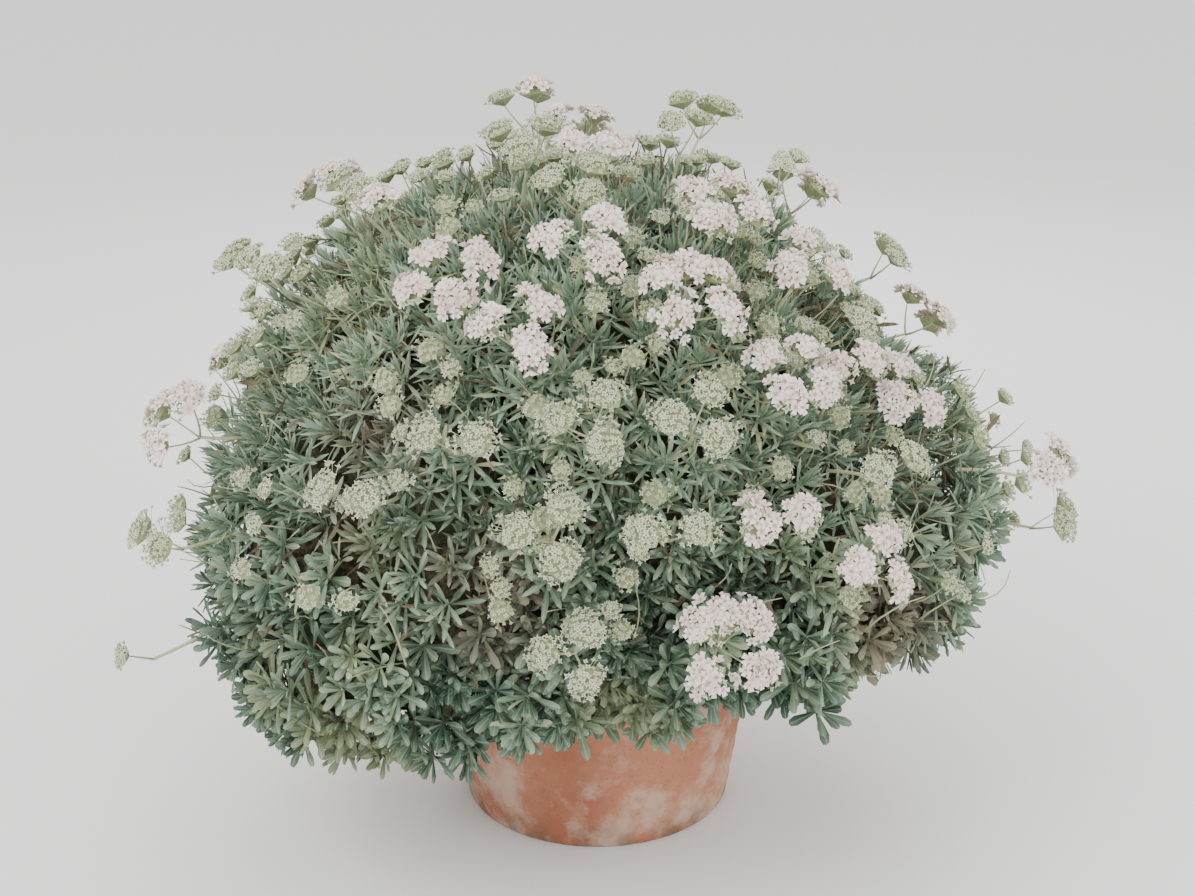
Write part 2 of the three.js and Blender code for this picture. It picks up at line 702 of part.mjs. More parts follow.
// Trunk, boughs and limbs in one piece of wood; each limb ends flat under its branch's foot
function wood() {
  const bottom = vector(0, 0, soilLevel - trunkDepth + seat);
  const bend = vector(6, -4, 0.5 * (soilLevel + trunkTop));
  const head = vector(0, 0, trunkTop);
  const trunk = solid(
    loft([
      ringOf(bottom, up, trunkRadius, trunkSides),
      ringOf(vector(0, 0, soilLevel + soilCrown), up, trunkRadius, trunkSides),
      ringOf(bend, up, trunkTopRadius, trunkSides),
      ringOf(head, up, trunkTopRadius, trunkSides),
    ]),
  );
  const forks = Array.from({ length: boughCount }, (_, i) => {
    const a = ((i + 0.3 * draw(i, 5)) / boughCount) * turn;
    return vector(boughReach * Math.cos(a), boughReach * Math.sin(a), trunkTop + boughRise);
  });
  forks.push(vector(8, 6, trunkTop + boughReach));
  const start = vector(0, 0, trunkTop - trunkTopRadius);
  const boughs = forks.map((fork) => stem(start, fork, boughRadius, boughSides));
  const limbs = branchAxes.map((axis) => {
    const end = crown.clone().addScaledVector(axis, branchFoot.at * reachOf(axis) - seat);
    const fork = forks.reduce((a, b) => (a.distanceTo(end) < b.distanceTo(end) ? a : b));
    const boughAxis = fork.clone().sub(start).normalize();
    const sideways = end.clone().sub(fork).projectOnPlane(boughAxis).normalize();
    const from = fork.clone().addScaledVector(boughAxis, -7).addScaledVector(sideways, 5);
    return stem(from, end, limbRadius, limbSides, axis);
  });
  return fused([trunk, ...boughs, ...limbs]);
}

// Pot: a turned profile that closes on the axis, with drain holes off the centre of its floor
function pot() {
  const rimLow = potHeight - potRimDepth;
  const innerTop = potRimRadius - potWall;
  const innerLow = potBaseRadius - potWall + 3;
  const profile = [
    [0, 0],
    [potBaseRadius - potEdge, 0],
    [potBaseRadius, potEdge],
    [potWaistRadius, rimLow],
    [potRimRadius - potEdge, rimLow + 3],
    [potRimRadius, potHeight - potEdge],
    [potRimRadius - potEdge, potHeight],
    [innerTop + potEdge, potHeight],
    [innerTop, potHeight - potEdge],
    [innerLow, potFloor],
    [0, potFloor],
  ].map(([r, z]) => new THREE.Vector2(r, z));
  const body = solid(standing(new THREE.LatheGeometry(profile, potSides)));
  const drains = Array.from({ length: drainCount }, (_, i) => {
    const a = (i / drainCount) * turn;
    const hole = new THREE.CylinderGeometry(drainRadius, drainRadius, potFloor * 3, 8);
    hole.rotateX(Math.PI / 2);
    hole.translate(drainOffset * Math.cos(a), drainOffset * Math.sin(a), potFloor / 2);
    return solid(hole);
  });
  return body.subtract(fused(drains));
}

// A lathe turns about Y; this stands its axis along Z
function standing(geometry) {
  geometry.rotateX(Math.PI / 2);
  return geometry;
}

// Soil: fills the pot, with a slightly domed top and a plain hole that the trunk stands in
function soil() {
  const innerTop = potRimRadius - potWall;
  const innerLow = potBaseRadius - potWall + 3;
  const share = (soilLevel - potFloor) / (potHeight - potEdge - potFloor);
  const edge = innerLow + (innerTop - innerLow) * share - seat;
  const profile = [
    [0, potFloor + seat],
    [innerLow - seat, potFloor + seat],
    [edge, soilLevel],
    [0, soilLevel + soilCrown],
  ].map(([r, z]) => new THREE.Vector2(r, z));
  const geometry = standing(new THREE.LatheGeometry(profile, potSides));
  const hole = trunkRadius + seat / Math.cos(Math.PI / trunkSides);
  const socket = solid(
    loft([
      ringOf(vector(0, 0, soilLevel - trunkDepth), up, hole, trunkSides),
      ringOf(vector(0, 0, soilLevel + 30), up, hole, trunkSides),
    ]),
  );
  return solid(geometry).subtract(socket);
}

// Assembly
const openPlaced = openSprays.map((spray, i) => placedSpray(spray, openFlorets, 100 + 10 * i));
const palePlaced = paleSprays.map((spray, i) => placedSpray(spray, openFlorets, 400 + 10 * i));
const budPlaced = budSprays.map((spray, i) => placedSpray(spray, budFlorets, 600 + 10 * i));
const seated = [...openPlaced, ...palePlaced];
const flowering = [...seated, ...budPlaced];
const rosettes = flowering.map((placed) => placed.rosetteBelow);
for (const direction of evenDirections(rosetteTrials, -skirtLow - skirtDrop, 2.1)) {
  const added = rosettePlace(direction, rosettes.length);
  const hangs = direction.z > Math.sin(radians(lowestAt(Math.atan2(direction.y, direction.x))));
  const apart = rosettes.every(({ centre }) => centre.distanceTo(added.centre) > rosetteSpacing);
  if (hangs && apart) rosettes.push(added);
}
const numbered = (stemName, i) => `${stemName}_${String(i + 1).padStart(2, "0")}`;

const plant = new THREE.Group();
plant.add(node("pot", pot(), terracotta));
plant.add(node("soil", soil(), earth));
plant.add(node("trunk_and_limbs", wood(), bark));
branchAxes.forEach((_, i) => plant.add(node(numbered("leafy_branch", i), leafyBranch(i), foliage)));
openPlaced.forEach((spray, i) => plant.add(node(numbered("bloom_spray", i), openSpray(spray), blossom)));
palePlaced.forEach((spray, i) => plant.add(node(numbered("green_spray", i), openSpray(spray), pale)));

export default plant;
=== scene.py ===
import math

import bmesh
import bpy
import numpy as np
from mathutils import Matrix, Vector, noise


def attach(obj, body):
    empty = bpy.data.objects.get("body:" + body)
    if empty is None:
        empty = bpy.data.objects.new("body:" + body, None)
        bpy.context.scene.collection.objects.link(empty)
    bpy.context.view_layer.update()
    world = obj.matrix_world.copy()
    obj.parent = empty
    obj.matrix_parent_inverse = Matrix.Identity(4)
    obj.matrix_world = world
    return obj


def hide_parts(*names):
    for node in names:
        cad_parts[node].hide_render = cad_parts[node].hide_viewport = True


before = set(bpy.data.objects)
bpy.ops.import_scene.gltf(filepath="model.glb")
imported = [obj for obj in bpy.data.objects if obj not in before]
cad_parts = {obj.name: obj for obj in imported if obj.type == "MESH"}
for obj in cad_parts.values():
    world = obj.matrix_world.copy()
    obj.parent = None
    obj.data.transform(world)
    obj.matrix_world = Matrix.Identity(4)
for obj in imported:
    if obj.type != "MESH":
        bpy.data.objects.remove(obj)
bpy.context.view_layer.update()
print("frame loaded")

# Shape of the mound, as in the solids: metres, degrees and shares of the reach
mound = {
    "crown": (0, 0, 0.530),
    "left": 0.500, "right": 0.555, "front": 0.470, "back": 0.450, "up": 0.380, "down": 0.430,
    "squareness": 2.5, "rightSlope": 1.35, "leftSlope": 0.4, "slopeGain": 5,
    "bulgeAzimuth": -148, "bulgeElevation": -28, "bulgeAmount": 0.17, "bulgeWidth": 0.6,
    "skirtLow": 27, "skirtDrop": 9, "skirtDropAt": -142,
    "branchCount": 20, "branchLow": 14, "footAt": 0.37, "footSpread": 0.20,
    "rosetteSpacing": 0.109, "rosetteTrials": 900, "leafLength": 0.090,
    "borderRoom": 0.034, "stemRoom": 0.009, "rayLength": 0.028, "bloomLift": 0.004, "liftStep": 0.003,
    "roomAt": 0.9, "roomStep": 0.06, "roomTries": 40,
    "rosetteRise": (0.15, 0.4, 0.4), "rosetteSunk": 0.7, "leafSpread": (0.92, 0.16),
    "stemUpright": 0.4, "clusterSpread": (0.94, 0.1), "rimRise": 0.48, "rimSides": 8,
}

# Sprays: azimuth, elevation, clusters, radius of a cluster and lift of the fork in mm
openSprays = [
    (170, 79, 1, 25, 20), (-92, 66, 2, 22, 0), (-134, 44, 1, 25, 12), (-114, 35, 4, 24, 0),
    (-92, 42, 3, 26, 0), (-101, 29, 3, 25, 0), (-75, 34, 5, 25, 0), (-61, 49, 4, 24, 0),
    (-47, 40, 3, 24, 0), (-61, 22, 4, 22, 0), (-48, 21, 2, 25, 0), (-35, 14, 3, 25, 8),
    (-25, 2, 2, 25, 8), (-68, 5, 2, 24, 0), (-56, -2, 3, 21, 0), (-74, -11, 5, 25, 0),
    (-152, 8, 3, 26, 4), (25, 8, 3, 25, 0), (30, 40, 3, 25, 0), (62, 22, 4, 25, 0),
    (96, 44, 4, 25, 0), (98, 3, 3, 25, 0), (128, 21, 3, 25, 0), (152, 33, 3, 25, 0),
    (160, 2, 2, 25, 0),
]
paleSprays = [
    (-120, 66, 3, 25, 6), (-45, 70, 2, 21, 14), (-97, 54, 3, 23, 0), (-147, 45, 2, 24, 14),
    (-149, 30, 2, 23, 18), (-50, 8, 2, 24, 0), (-77, 18, 3, 24, 0), (-91, 18, 3, 25, 0),
    (-108, 15, 2, 25, 0), (-96, 4, 3, 25, 0), (-81, 4, 2, 25, 0), (-93, -12, 3, 23, 0),
]
budSprays = [
    (-147, -4, 2, 25, 6), (-37, 53, 2, 16, 40), (-40, 27, 1, 23, 6), (-16, -8, 2, 25, 10),
    (-152, -18, 1, 16, 36), (-120, 7, 2, 24, 0), (5, 28, 2, 24, 0), (45, 62, 3, 25, 6),
    (50, 2, 2, 24, 0), (80, -6, 2, 23, 0), (85, 28, 2, 25, 0), (118, 60, 2, 24, 6),
    (128, -4, 2, 24, 0), (178, 24, 2, 24, 0),
]

crown = np.array(mound["crown"])
up = np.array([0.0, 0.0, 1.0])
goldenTurn = math.pi * (3 - math.sqrt(5))


# Vector helpers, for one vector or for rows of them
def unit(v):
    v = np.asarray(v, float)
    return v / np.maximum(np.linalg.norm(v, axis=-1, keepdims=True), 1e-12)


def draw(seed, salt):  # the same fixed draw as the solids use
    wave = math.sin(seed * 12.9898 + salt * 78.233) * 43758.5453
    return wave - math.floor(wave)


def toward(azimuth, elevation):
    a, e = math.radians(azimuth), math.radians(elevation)
    return np.array([math.cos(e) * math.cos(a), math.cos(e) * math.sin(a), math.sin(e)])


def sidesOf(axis):
    across = np.cross(up, axis)
    if np.linalg.norm(across) < 1e-3:
        across = np.array([1.0, 0, 0])
    across = unit(across)
    return across, unit(np.cross(axis, across))


def evenDirections(count, lowest, phase):
    i = np.arange(count)
    z = 1 - (i + 0.5) / count * (1 - math.sin(math.radians(lowest)))
    a = i * goldenTurn + phase
    flat = np.sqrt(1 - z * z)
    return np.stack([flat * np.cos(a), flat * np.sin(a), z], 1)


def reachOf(direction):
    m = mound
    d = np.asarray(direction, float)
    x, y, z = d[..., 0], d[..., 1], d[..., 2]
    slope = np.where(x < 0, -m["leftSlope"] * x, m["rightSlope"] * x)
    power = m["squareness"] - slope * np.clip(m["slopeGain"] * z, 0, 1)
    sideways = np.abs(x) / np.where(x < 0, m["left"], m["right"])
    deep = np.abs(y) / np.where(y < 0, m["front"], m["back"])
    high = np.abs(z) / np.where(z > 0, m["up"], m["down"])
    away = np.arccos(np.clip(d @ toward(m["bulgeAzimuth"], m["bulgeElevation"]), -1, 1)) / m["bulgeWidth"]
    swell = 1 + m["bulgeAmount"] * np.exp(-away * away)
    return swell * (sideways**power + deep**power + high**power) ** (-1 / power)


def reachPoint(direction, share, extra=0.0):
    return crown + direction * (reachOf(direction) * share + extra)[..., None]


def lowestAt(direction):  # how far down the leaves hang on that side, in degrees
    away = np.cos(np.arctan2(direction[..., 1], direction[..., 0]) - math.radians(mound["skirtDropAt"]))
    return -mound["skirtLow"] - mound["skirtDrop"] * np.maximum(0, away) ** 2


skirtBottom = -mound["skirtLow"] - mound["skirtDrop"]  # degrees


branchAxes = evenDirections(mound["branchCount"], -mound["branchLow"], 0.4)
branchBorders = [unit(axis - np.delete(branchAxes, i, 0)) for i, axis in enumerate(branchAxes)]


def branchAt(direction):
    return int(np.argmax(branchAxes @ direction))


def roomIn(branch, point):
    return float((branchBorders[branch] @ (point - crown)).min())


def movedInside(branch, direction, room):
    moved = np.array(direction)
    for _ in range(mound["roomTries"]):
        if roomIn(branch, reachPoint(moved, mound["roomAt"])) >= room:
            break
        moved = unit(moved + (branchAxes[branch] - moved) * mound["roomStep"])
    return moved


def rosettePlace(direction, seed):
    branch = branchAt(direction)
    spot = movedInside(branch, direction, mound["borderRoom"])
    level, gain, most = mound["rosetteRise"]
    axis = unit(spot + up * min(max(level + gain * spot[2], 0), most))
    least, spread = mound["leafSpread"]
    length = mound["leafLength"] * (least + spread * draw(seed, 1))
    return {"axis": axis, "centre": reachPoint(spot, 1, -mound["rosetteSunk"] * length)}


def clusterSpots(count):
    if count == 1:
        return [(0, 0)]
    if count == 5:
        return [(1.15, 0.95), (0, 1.25), (-1.15, 0.95), (-1.1, -1.15), (1.1, -1.15)]
    radius = {2: 1.12, 3: 1.3, 4: 1.58}[count]
    start = -math.pi / 2 if count == 2 else 0
    turns = [(i + 0.5) / count * math.tau + start for i in range(count)]
    return [(radius * math.cos(a), radius * math.sin(a)) for a in turns]


def ringOf(centre, axis, radius, sides):
    across, along = sidesOf(axis)
    a = np.arange(sides) / sides * math.tau
    return centre + radius * (np.cos(a)[:, None] * across + np.sin(a)[:, None] * along)


def placedSpray(row, seed):
    azimuth, elevation, count, radius, lift = row
    radius, lift = radius / 1000, lift / 1000
    wanted = toward(azimuth, elevation)
    direction = movedInside(branchAt(wanted), wanted, mound["stemRoom"])
    axis = unit((1 - mound["stemUpright"]) * direction + mound["stemUpright"] * up)
    across, along = sidesOf(axis)
    least, spread = mound["clusterSpread"]
    while True:
        fork = reachPoint(direction, 1, lift)
        clusters, low = [], []
        for i, (x, y) in enumerate(clusterSpots(count)):
            rim = axis * (mound["rayLength"] + 0.5 * radius) + across * (x * radius) + along * (y * radius)
            facing = unit(0.5 * unit(rim) + 0.5 * axis)
            foot = fork + rim - facing * (0.5 * radius)
            size = radius * (least + spread * draw(seed, 40 + i))
            clusters.append({"foot": foot, "axis": facing, "radius": size})
            top = foot + facing * size * mound["rimRise"]
            low += [foot[None], ringOf(top, facing, size, mound["rimSides"])]
        offset = np.concatenate(low) - crown
        far = np.linalg.norm(offset, axis=1)
        if (far > reachOf(unit(offset)) + mound["bloomLift"]).all():
            below = rosettePlace(direction, seed)
            return {"axis": axis, "fork": fork, "clusters": clusters, "below": below}
        lift += mound["liftStep"]


openPlaced = [placedSpray(row, 100 + 10 * i) for i, row in enumerate(openSprays)]
palePlaced = [placedSpray(row, 400 + 10 * i) for i, row in enumerate(paleSprays)]
budPlaced = [placedSpray(row, 600 + 10 * i) for i, row in enumerate(budSprays)]
rosettes = [spray["below"] for spray in openPlaced + palePlaced + budPlaced]
for direction in evenDirections(mound["rosetteTrials"], skirtBottom, 2.1):
    if direction[2] <= math.sin(math.radians(lowestAt(direction))):
        continue
    added = rosettePlace(direction, len(rosettes))
    if min(np.linalg.norm(r["centre"] - added["centre"]) for r in rosettes) > mound["rosetteSpacing"]:
        rosettes.append(added)
rosetteCentres = np.array([r["centre"] for r in rosettes])
print("layout:", len(rosettes), "clumps of leaves")


# Materials: a wire is a socket that sums can be written with
class Wire:
    def __init__(self, finish, socket):
        self.finish, self.socket = finish, socket

    def sum(self, kind, *values):
        return self.finish.node("Math", {"operation": kind}, dict(enumerate(values)))

    def __add__(self, other):
        return self.sum("ADD", self, other)

    def __sub__(self, other):
        return self.sum("SUBTRACT", self, other)

    def __rsub__(self, other):
        return self.sum("SUBTRACT", other, self)

    def __mul__(self, other):
        return self.sum("MULTIPLY", self, other)

    def __gt__(self, other):
        return self.sum("GREATER_THAN", self, other)

    def __abs__(self):
        return self.sum("ABSOLUTE", self)

    __radd__ = __add__
    __rmul__ = __mul__


class Finish:
    def __init__(self, name, roughness, specular=0.3):
        self.material = bpy.data.materials.new(name)
        self.material.use_nodes = True
        self.tree = self.material.node_tree
        self.surface = self.tree.nodes["Principled BSDF"]
        self.surface.inputs["Roughness"].default_value = roughness
        self.surface.inputs["Specular IOR Level"].default_value = specular

    # Any node: its type, its settings, then the values or wires of its sockets
    def node(self, kind, settings=None, sockets=None, output=0):
        made = self.tree.nodes.new("ShaderNode" + kind)
        for name, value in (settings or {}).items():
            if name == "stops":
                ramp = made.color_ramp.elements
                while len(ramp) < len(value):
                    ramp.new(1)
                for element, (place, colour) in zip(ramp, value):
                    element.position, element.color = place, (*colour, 1)
            else:
                setattr(made, name, value)
        for name, value in (sockets or {}).items():
            if isinstance(value, Wire):
                self.tree.links.new(value.socket, made.inputs[name])
            else:
                made.inputs[name].default_value = value
        return Wire(self, made.outputs[output])

    def attribute(self, name):
        return self.node("Attribute", {"attribute_name": name}, output="Fac")

    def place(self):
        return self.node("TexCoord", output="Object")

    def parts(self, vector):  # its three numbers
        outputs = self.node("SeparateXYZ", {}, {0: vector}).socket.node.outputs
        return [Wire(self, output) for output in outputs]

    def bladePlace(self):  # across and along a leaf or petal
        return self.parts(self.node("UVMap", {"uv_map": "leafMap"}))

    def cloud(self, scale, detail=3.0, roughness=0.55):
        sockets = {"Vector": self.place(), "Scale": scale, "Detail": detail, "Roughness": roughness}
        return self.node("TexNoise", {}, sockets, "Fac")

    def step(self, value, low, high):
        return self.node("MapRange", {"interpolation_type": "SMOOTHSTEP"}, {0: value, 1: low, 2: high})

    def mix(self, factor, first, second):  # of two colours, the Mix node's sockets 6 and 7
        def colour(c):
            return c if isinstance(c, Wire) else (*c, 1)
        return self.node("Mix", {"data_type": "RGBA"}, {0: factor, 6: colour(first), 7: colour(second)}, 2)

    def bump(self, height, strength, distance):
        sockets = {"Height": height, "Strength": strength, "Distance": distance}
        self.wear("Normal", self.node("Bump", {}, sockets))

    def wear(self, socket, value):
        self.tree.links.new(value.socket, self.surface.inputs[socket])


def linear(red, green, blue):  # a colour as a screen shows it, 0 to 255
    def one(value):
        share = value / 255
        return share / 12.92 if share <= 0.04045 else ((share + 0.055) / 1.055) ** 2.4
    return one(red), one(green), one(blue)


# Leaf colours: the tone mixes the dark end into the pale end, from painted shade between clumps to painted
# light on the higher leaves, besides each leaf's own tone
leafColours = {
    "deep": linear(59, 82, 64), "paleAndLit": linear(146, 167, 140), "olive": linear(150, 152, 110),
    "tip": linear(190, 210, 186), "under": linear(146, 166, 146), "dry": linear(132, 116, 102),
    "strawAndGlint": linear(196, 188, 140),
}


def leafFinish():
    f, c = Finish("felted_leaf", 0.72, 0.25), leafColours
    across, along, _ = f.bladePlace()
    tone, own = f.attribute("tone"), f.attribute("leafTone")
    # dark to pale by the tone, which holds painted light on the higher leaves and painted shade between
    # clumps, besides each leaf's own tone
    body = f.mix(f.step(tone * 0.6 + own * 0.5, 0.1, 0.95), c["deep"], c["paleAndLit"])
    body = f.mix(f.step(f.cloud(5.0), 0.52, 0.68) * 0.55, body, c["olive"])
    # paler tips, stronger on the leaves the tone lights: partly the leaf's own pale tip, partly painted
    # highlight
    body = f.mix(f.step(along, 0.55, 1.05) * (tone * 0.40 + 0.10), body, c["tip"])
    rib = 1 - f.step(abs(across - 0.5), 0.0, 0.14)
    body = f.mix(rib * 0.25, body, c["tip"])
    body = f.mix(across > 1.5, body, c["under"])  # the underside is mapped from 2 on
    body = f.mix(f.attribute("dry"), body, c["dry"])
    # a few straw-yellow leaves, more of them where the tone lights them: partly dry leaves, partly painted
    # glints
    body = f.mix((own > 0.93) * tone * 0.75, body, c["strawAndGlint"])
    f.wear("Base Color", body)
    f.wear("Roughness", 0.62 + own * 0.2)
    f.bump(f.cloud(900.0, 1.0), 0.15, 0.0006)
    return f.material


thatchAndShadeColours = {"low": linear(50, 48, 36), "high": linear(122, 110, 90), "moss": linear(66, 74, 52),
                 "twig": linear(150, 134, 112)}


def thatchFinish():
    f, c = Finish("dry_thatch_and_shade", 0.95, 0.15), thatchAndShadeColours
    # near-black flecks of painted shade among the thatch's own browns
    body = f.mix(f.step(f.cloud(110.0, 6.0, 0.7), 0.38, 0.66), c["low"], c["high"])
    body = f.mix(f.step(f.cloud(9.0), 0.45, 0.65), body, c["moss"])
    f.wear("Base Color", f.mix(f.attribute("tone") * 0.6, body, c["twig"]))
    f.wear("Roughness", 0.85 + f.cloud(60.0) * 0.15)
    f.bump(f.cloud(180.0, 4.0), 0.8, 0.004)
    return f.material


barkColours = {"groove": linear(72, 60, 50), "ridge": linear(140, 126, 110), "lichen": linear(112, 116, 98)}


def barkFinish():
    f, c = Finish("grey_brown_bark", 0.92, 0.2), barkColours
    stretched = f.node("Mapping", {}, {"Vector": f.place(), "Scale": (90, 90, 14)})
    grain = f.node("TexNoise", {}, {"Vector": stretched, "Scale": 1.0, "Detail": 6.0}, "Fac")
    body = f.mix(f.step(grain, 0.35, 0.65), c["groove"], c["ridge"])
    f.wear("Base Color", f.mix(f.step(f.cloud(25.0), 0.5, 0.7) * 0.5, body, c["lichen"]))
    f.wear("Roughness", 0.8 + grain * 0.2)
    f.bump(grain, 0.9, 0.006)
    return f.material


stalkColours = {"green": linear(166, 176, 134), "pale": linear(202, 202, 166), "aged": linear(134, 128, 100)}


def stalkFinish():
    f, c = Finish("pale_stalk", 0.7, 0.25), stalkColours
    body = f.mix(f.step(f.cloud(14.0), 0.35, 0.65), c["green"], c["pale"])
    f.wear("Base Color", f.mix(f.attribute("tone") * 0.5, body, c["aged"]))
    f.wear("Roughness", 0.6 + f.cloud(80.0) * 0.2)
    f.bump(f.cloud(700.0, 2.0), 0.2, 0.0005)
    return f.material


blushColours = {"edge": linear(245, 236, 229), "middle": linear(235, 216, 208),
                "heart": linear(170, 142, 120), "aged": linear(218, 192, 176)}
creamColours = {"edge": linear(222, 223, 202), "middle": linear(202, 206, 174),
                "heart": linear(106, 122, 84), "aged": linear(176, 182, 140)}


def petalFinish(name, c):
    f = Finish(name, 0.6, 0.3)
    out = f.bladePlace()[1]
    body = f.mix(f.step(out, 0.0, 0.5), c["heart"], c["middle"])
    body = f.mix(f.step(out, 0.35, 0.95), body, c["edge"])
    body = f.mix(f.step(f.attribute("tone"), 0.45, 1.0) * 0.6, body, c["aged"])
    f.wear("Base Color", body)
    f.wear("Roughness", 0.55 + f.attribute("leafTone") * 0.2)
    f.bump(f.cloud(1200.0, 1.0), 0.1, 0.0004)
    return f.material


clayColours = {"dark": linear(158, 100, 76), "light": linear(184, 126, 98), "speck": linear(120, 78, 62),
               "salt": linear(206, 190, 172), "damp": linear(92, 84, 62)}


def clayFinish():
    f, c = Finish("weathered_terracotta", 0.85, 0.25), clayColours
    height = f.parts(f.place())[2]
    body = f.mix(f.step(f.cloud(7.0, 4.0), 0.35, 0.68), c["dark"], c["light"])
    body = f.mix(f.step(f.cloud(240.0, 2.0), 0.58, 0.7) * 0.35, body, c["speck"])
    salt = f.step(f.cloud(11.0, 6.0, 0.7) + (1 - f.step(height, 0.0, 0.16)) * 0.12, 0.52, 0.72)
    body = f.mix(salt * 0.55, body, c["salt"])
    damp = (1 - f.step(height, 0.0, 0.05)) * f.step(f.cloud(26.0, 4.0), 0.4, 0.6)
    body = f.mix(damp * 0.6, body, c["damp"])
    f.wear("Base Color", body)
    f.wear("Roughness", 0.78 + salt * 0.18)
    f.bump(f.cloud(420.0, 3.0) + f.cloud(30.0) * 0.6, 0.25, 0.0015)
    return f.material


soilColours = {"dark": linear(38, 30, 24), "brown": linear(84, 68, 54), "grit": linear(176, 168, 152),
               "crumb": linear(106, 90, 72)}


def soilFinish():
    f, c = Finish("potting_soil", 0.97, 0.1), soilColours
    body = f.mix(f.step(f.cloud(120.0, 5.0), 0.35, 0.7), c["dark"], c["brown"])
    body = f.mix(f.step(f.cloud(420.0, 2.0), 0.66, 0.7), body, c["grit"])
    f.wear("Base Color", f.mix(f.attribute("tone") * 0.5, body, c["crumb"]))
    f.wear("Roughness", 0.9 + f.cloud(120.0) * 0.1)
    f.bump(f.cloud(260.0, 5.0), 0.9, 0.004)
    return f.material


leafMaterial = leafFinish()
thatchAndShadeMaterial = thatchFinish()
barkMaterial = barkFinish()
stalkMaterial = stalkFinish()
pinkMaterial = petalFinish("blush_petal", blushColours)
creamMaterial = petalFinish("cream_floret", creamColours)
clayMaterial = clayFinish()
soilMaterial = soilFinish()
print("finishes made")


# Meshes
def numbersOn(mesh, name, values):  # one number for each point
    mesh.attributes.new(name, "FLOAT", "POINT").data.foreach_set("value", np.array(values, np.float32))


def meshOf(name, points, faces, under=None, acrossAlong=None, tones=None, smooth=False, material=None):
    mesh = bpy.data.meshes.new(name)
    mesh.from_pydata([tuple(p) for p in points], [], faces)
    if acrossAlong is not None:
        layer = mesh.uv_layers.new(name="leafMap")
        for face, below in zip(mesh.polygons, under):
            for corner in face.loop_indices:
                u, v = acrossAlong[mesh.loops[corner].vertex_index]
                layer.uv[corner].vector = (u + 2 * below, v)
    if tones is not None:
        numbersOn(mesh, "leafTone", tones)
    mesh.shade_smooth() if smooth else mesh.shade_flat()
    if material:
        mesh.materials.append(material)
    return mesh


def pieceOf(name, mesh):
    made = bpy.data.objects.new(name, mesh)
    bpy.context.scene.collection.objects.link(made)
    return made


def tube(shape, path, radii, sides, tone=0.0):  # a closed round stem along a path
    path = np.asarray(path, float)
    points, faces, tones = shape
    start = len(points)
    ways = unit(np.gradient(path, axis=0))
    across, _ = sidesOf(ways[0])
    for place, way, radius in zip(path, ways, radii):
        across = unit(across - way * (across @ way))
        along = np.cross(way, across)
        for j in range(sides):
            a = j / sides * math.tau
            points.append(place + radius * (math.cos(a) * across + math.sin(a) * along))
            tones.append(tone)
    for i in range(len(path) - 1):
        for j in range(sides):
            k = (j + 1) % sides
            a, b = start + i * sides, start + (i + 1) * sides
            faces.append((a + j, a + k, b + k, b + j))
    faces.append(tuple(start + sides - 1 - j for j in range(sides)))
    faces.append(tuple(len(points) - sides + j for j in range(sides)))


def curved(start, end, bow, count):  # points from start to end, bowed sideways
    t = np.linspace(0, 1, count)[:, None]
    return start + (end - start) * t + np.asarray(bow) * (4 * t * (1 - t))


leafRidge = 0.22  # height of the midrib as a share of half the width


# One leaf as a closed, ridged blade with a flat underside
def addLeaf(shape, base, along, normal, length, width, bend, sections, tone):
    points, faces, under, layout, tones = shape
    along, side = unit(along), unit(np.cross(along, normal))
    normal = np.cross(side, along)
    start = len(points)
    for t, wide in sections:
        middle = base + along * (t * length) + normal * (bend * length * t * t)
        half = 0.5 * width * wide
        points += [middle - side * half, middle + normal * (leafRidge * half + 0.0003), middle + side * half]
        layout += [(0, t), (0.5, t), (1, t)]
    points.append(base + along * length + normal * (bend * length))
    layout.append((0.5, 1))
    tones += [tone] * (len(points) - start)
    last, tip = start + 3 * (len(sections) - 1), len(points) - 1
    for a in range(start, last, 3):
        b = a + 3
        faces += [(a, b, b + 1, a + 1), (a + 1, b + 1, b + 2, a + 2), (a, a + 2, b + 2, b)]
        under += [0, 0, 1]
    faces += [(last, tip, last + 1), (last + 1, tip, last + 2), (last, last + 2, tip)]
    faces.append((start, start + 1, start + 2))
    under += [0, 0, 1, 0]


leafKinds = {  # sections: place along the leaf and share of its full width
    "broad": {"sections": [(0, 0.2), (0.45, 0.66), (0.76, 1), (0.95, 0.66)], "width": 0.0118,
              "length": 0.040, "leaves": 13, "tall": 0.011, "open": (86, 26)},
    "middle": {"sections": [(0, 0.2), (0.5, 0.95), (0.84, 0.7)], "width": 0.0074,
               "length": 0.037, "leaves": 15, "tall": 0.022, "open": (78, 12)},
    "narrow": {"sections": [(0, 0.35), (0.58, 1)], "width": 0.0062,
               "length": 0.040, "leaves": 18, "tall": 0.026, "open": (80, 10)},
}


# One shoot: leaves set round its tip by the golden angle, the lowest the most spread
def shootMesh(kind, seed):
    k = leafKinds[kind]
    random = np.random.default_rng(seed)
    shape = ([], [], [], [], [])
    for i in range(k["leaves"]):
        t = i / (k["leaves"] - 1)
        angle = i * goldenTurn + random.uniform(-0.25, 0.25)
        widest, closest = k["open"]
        lean = math.radians(widest + (closest - widest) * t + random.uniform(-7, 7))
        out = np.array([math.cos(angle), math.sin(angle), 0])
        along = out * math.sin(lean) + up * math.cos(lean)
        normal = up * math.sin(lean) - out * math.cos(lean)
        length = k["length"] * (1.05 - 0.45 * t) * random.uniform(0.85, 1.1)
        width = k["width"] * (1 - 0.3 * t) * random.uniform(0.9, 1.1)
        base = up * (k["tall"] * t - 0.012) + out * 0.0008
        bend = random.uniform(-0.2, -0.02) + 0.22 * t
        addLeaf(shape, base, along, normal, length, width, bend, k["sections"], random.uniform(0, 1))
    return meshOf(kind + str(seed), *shape)


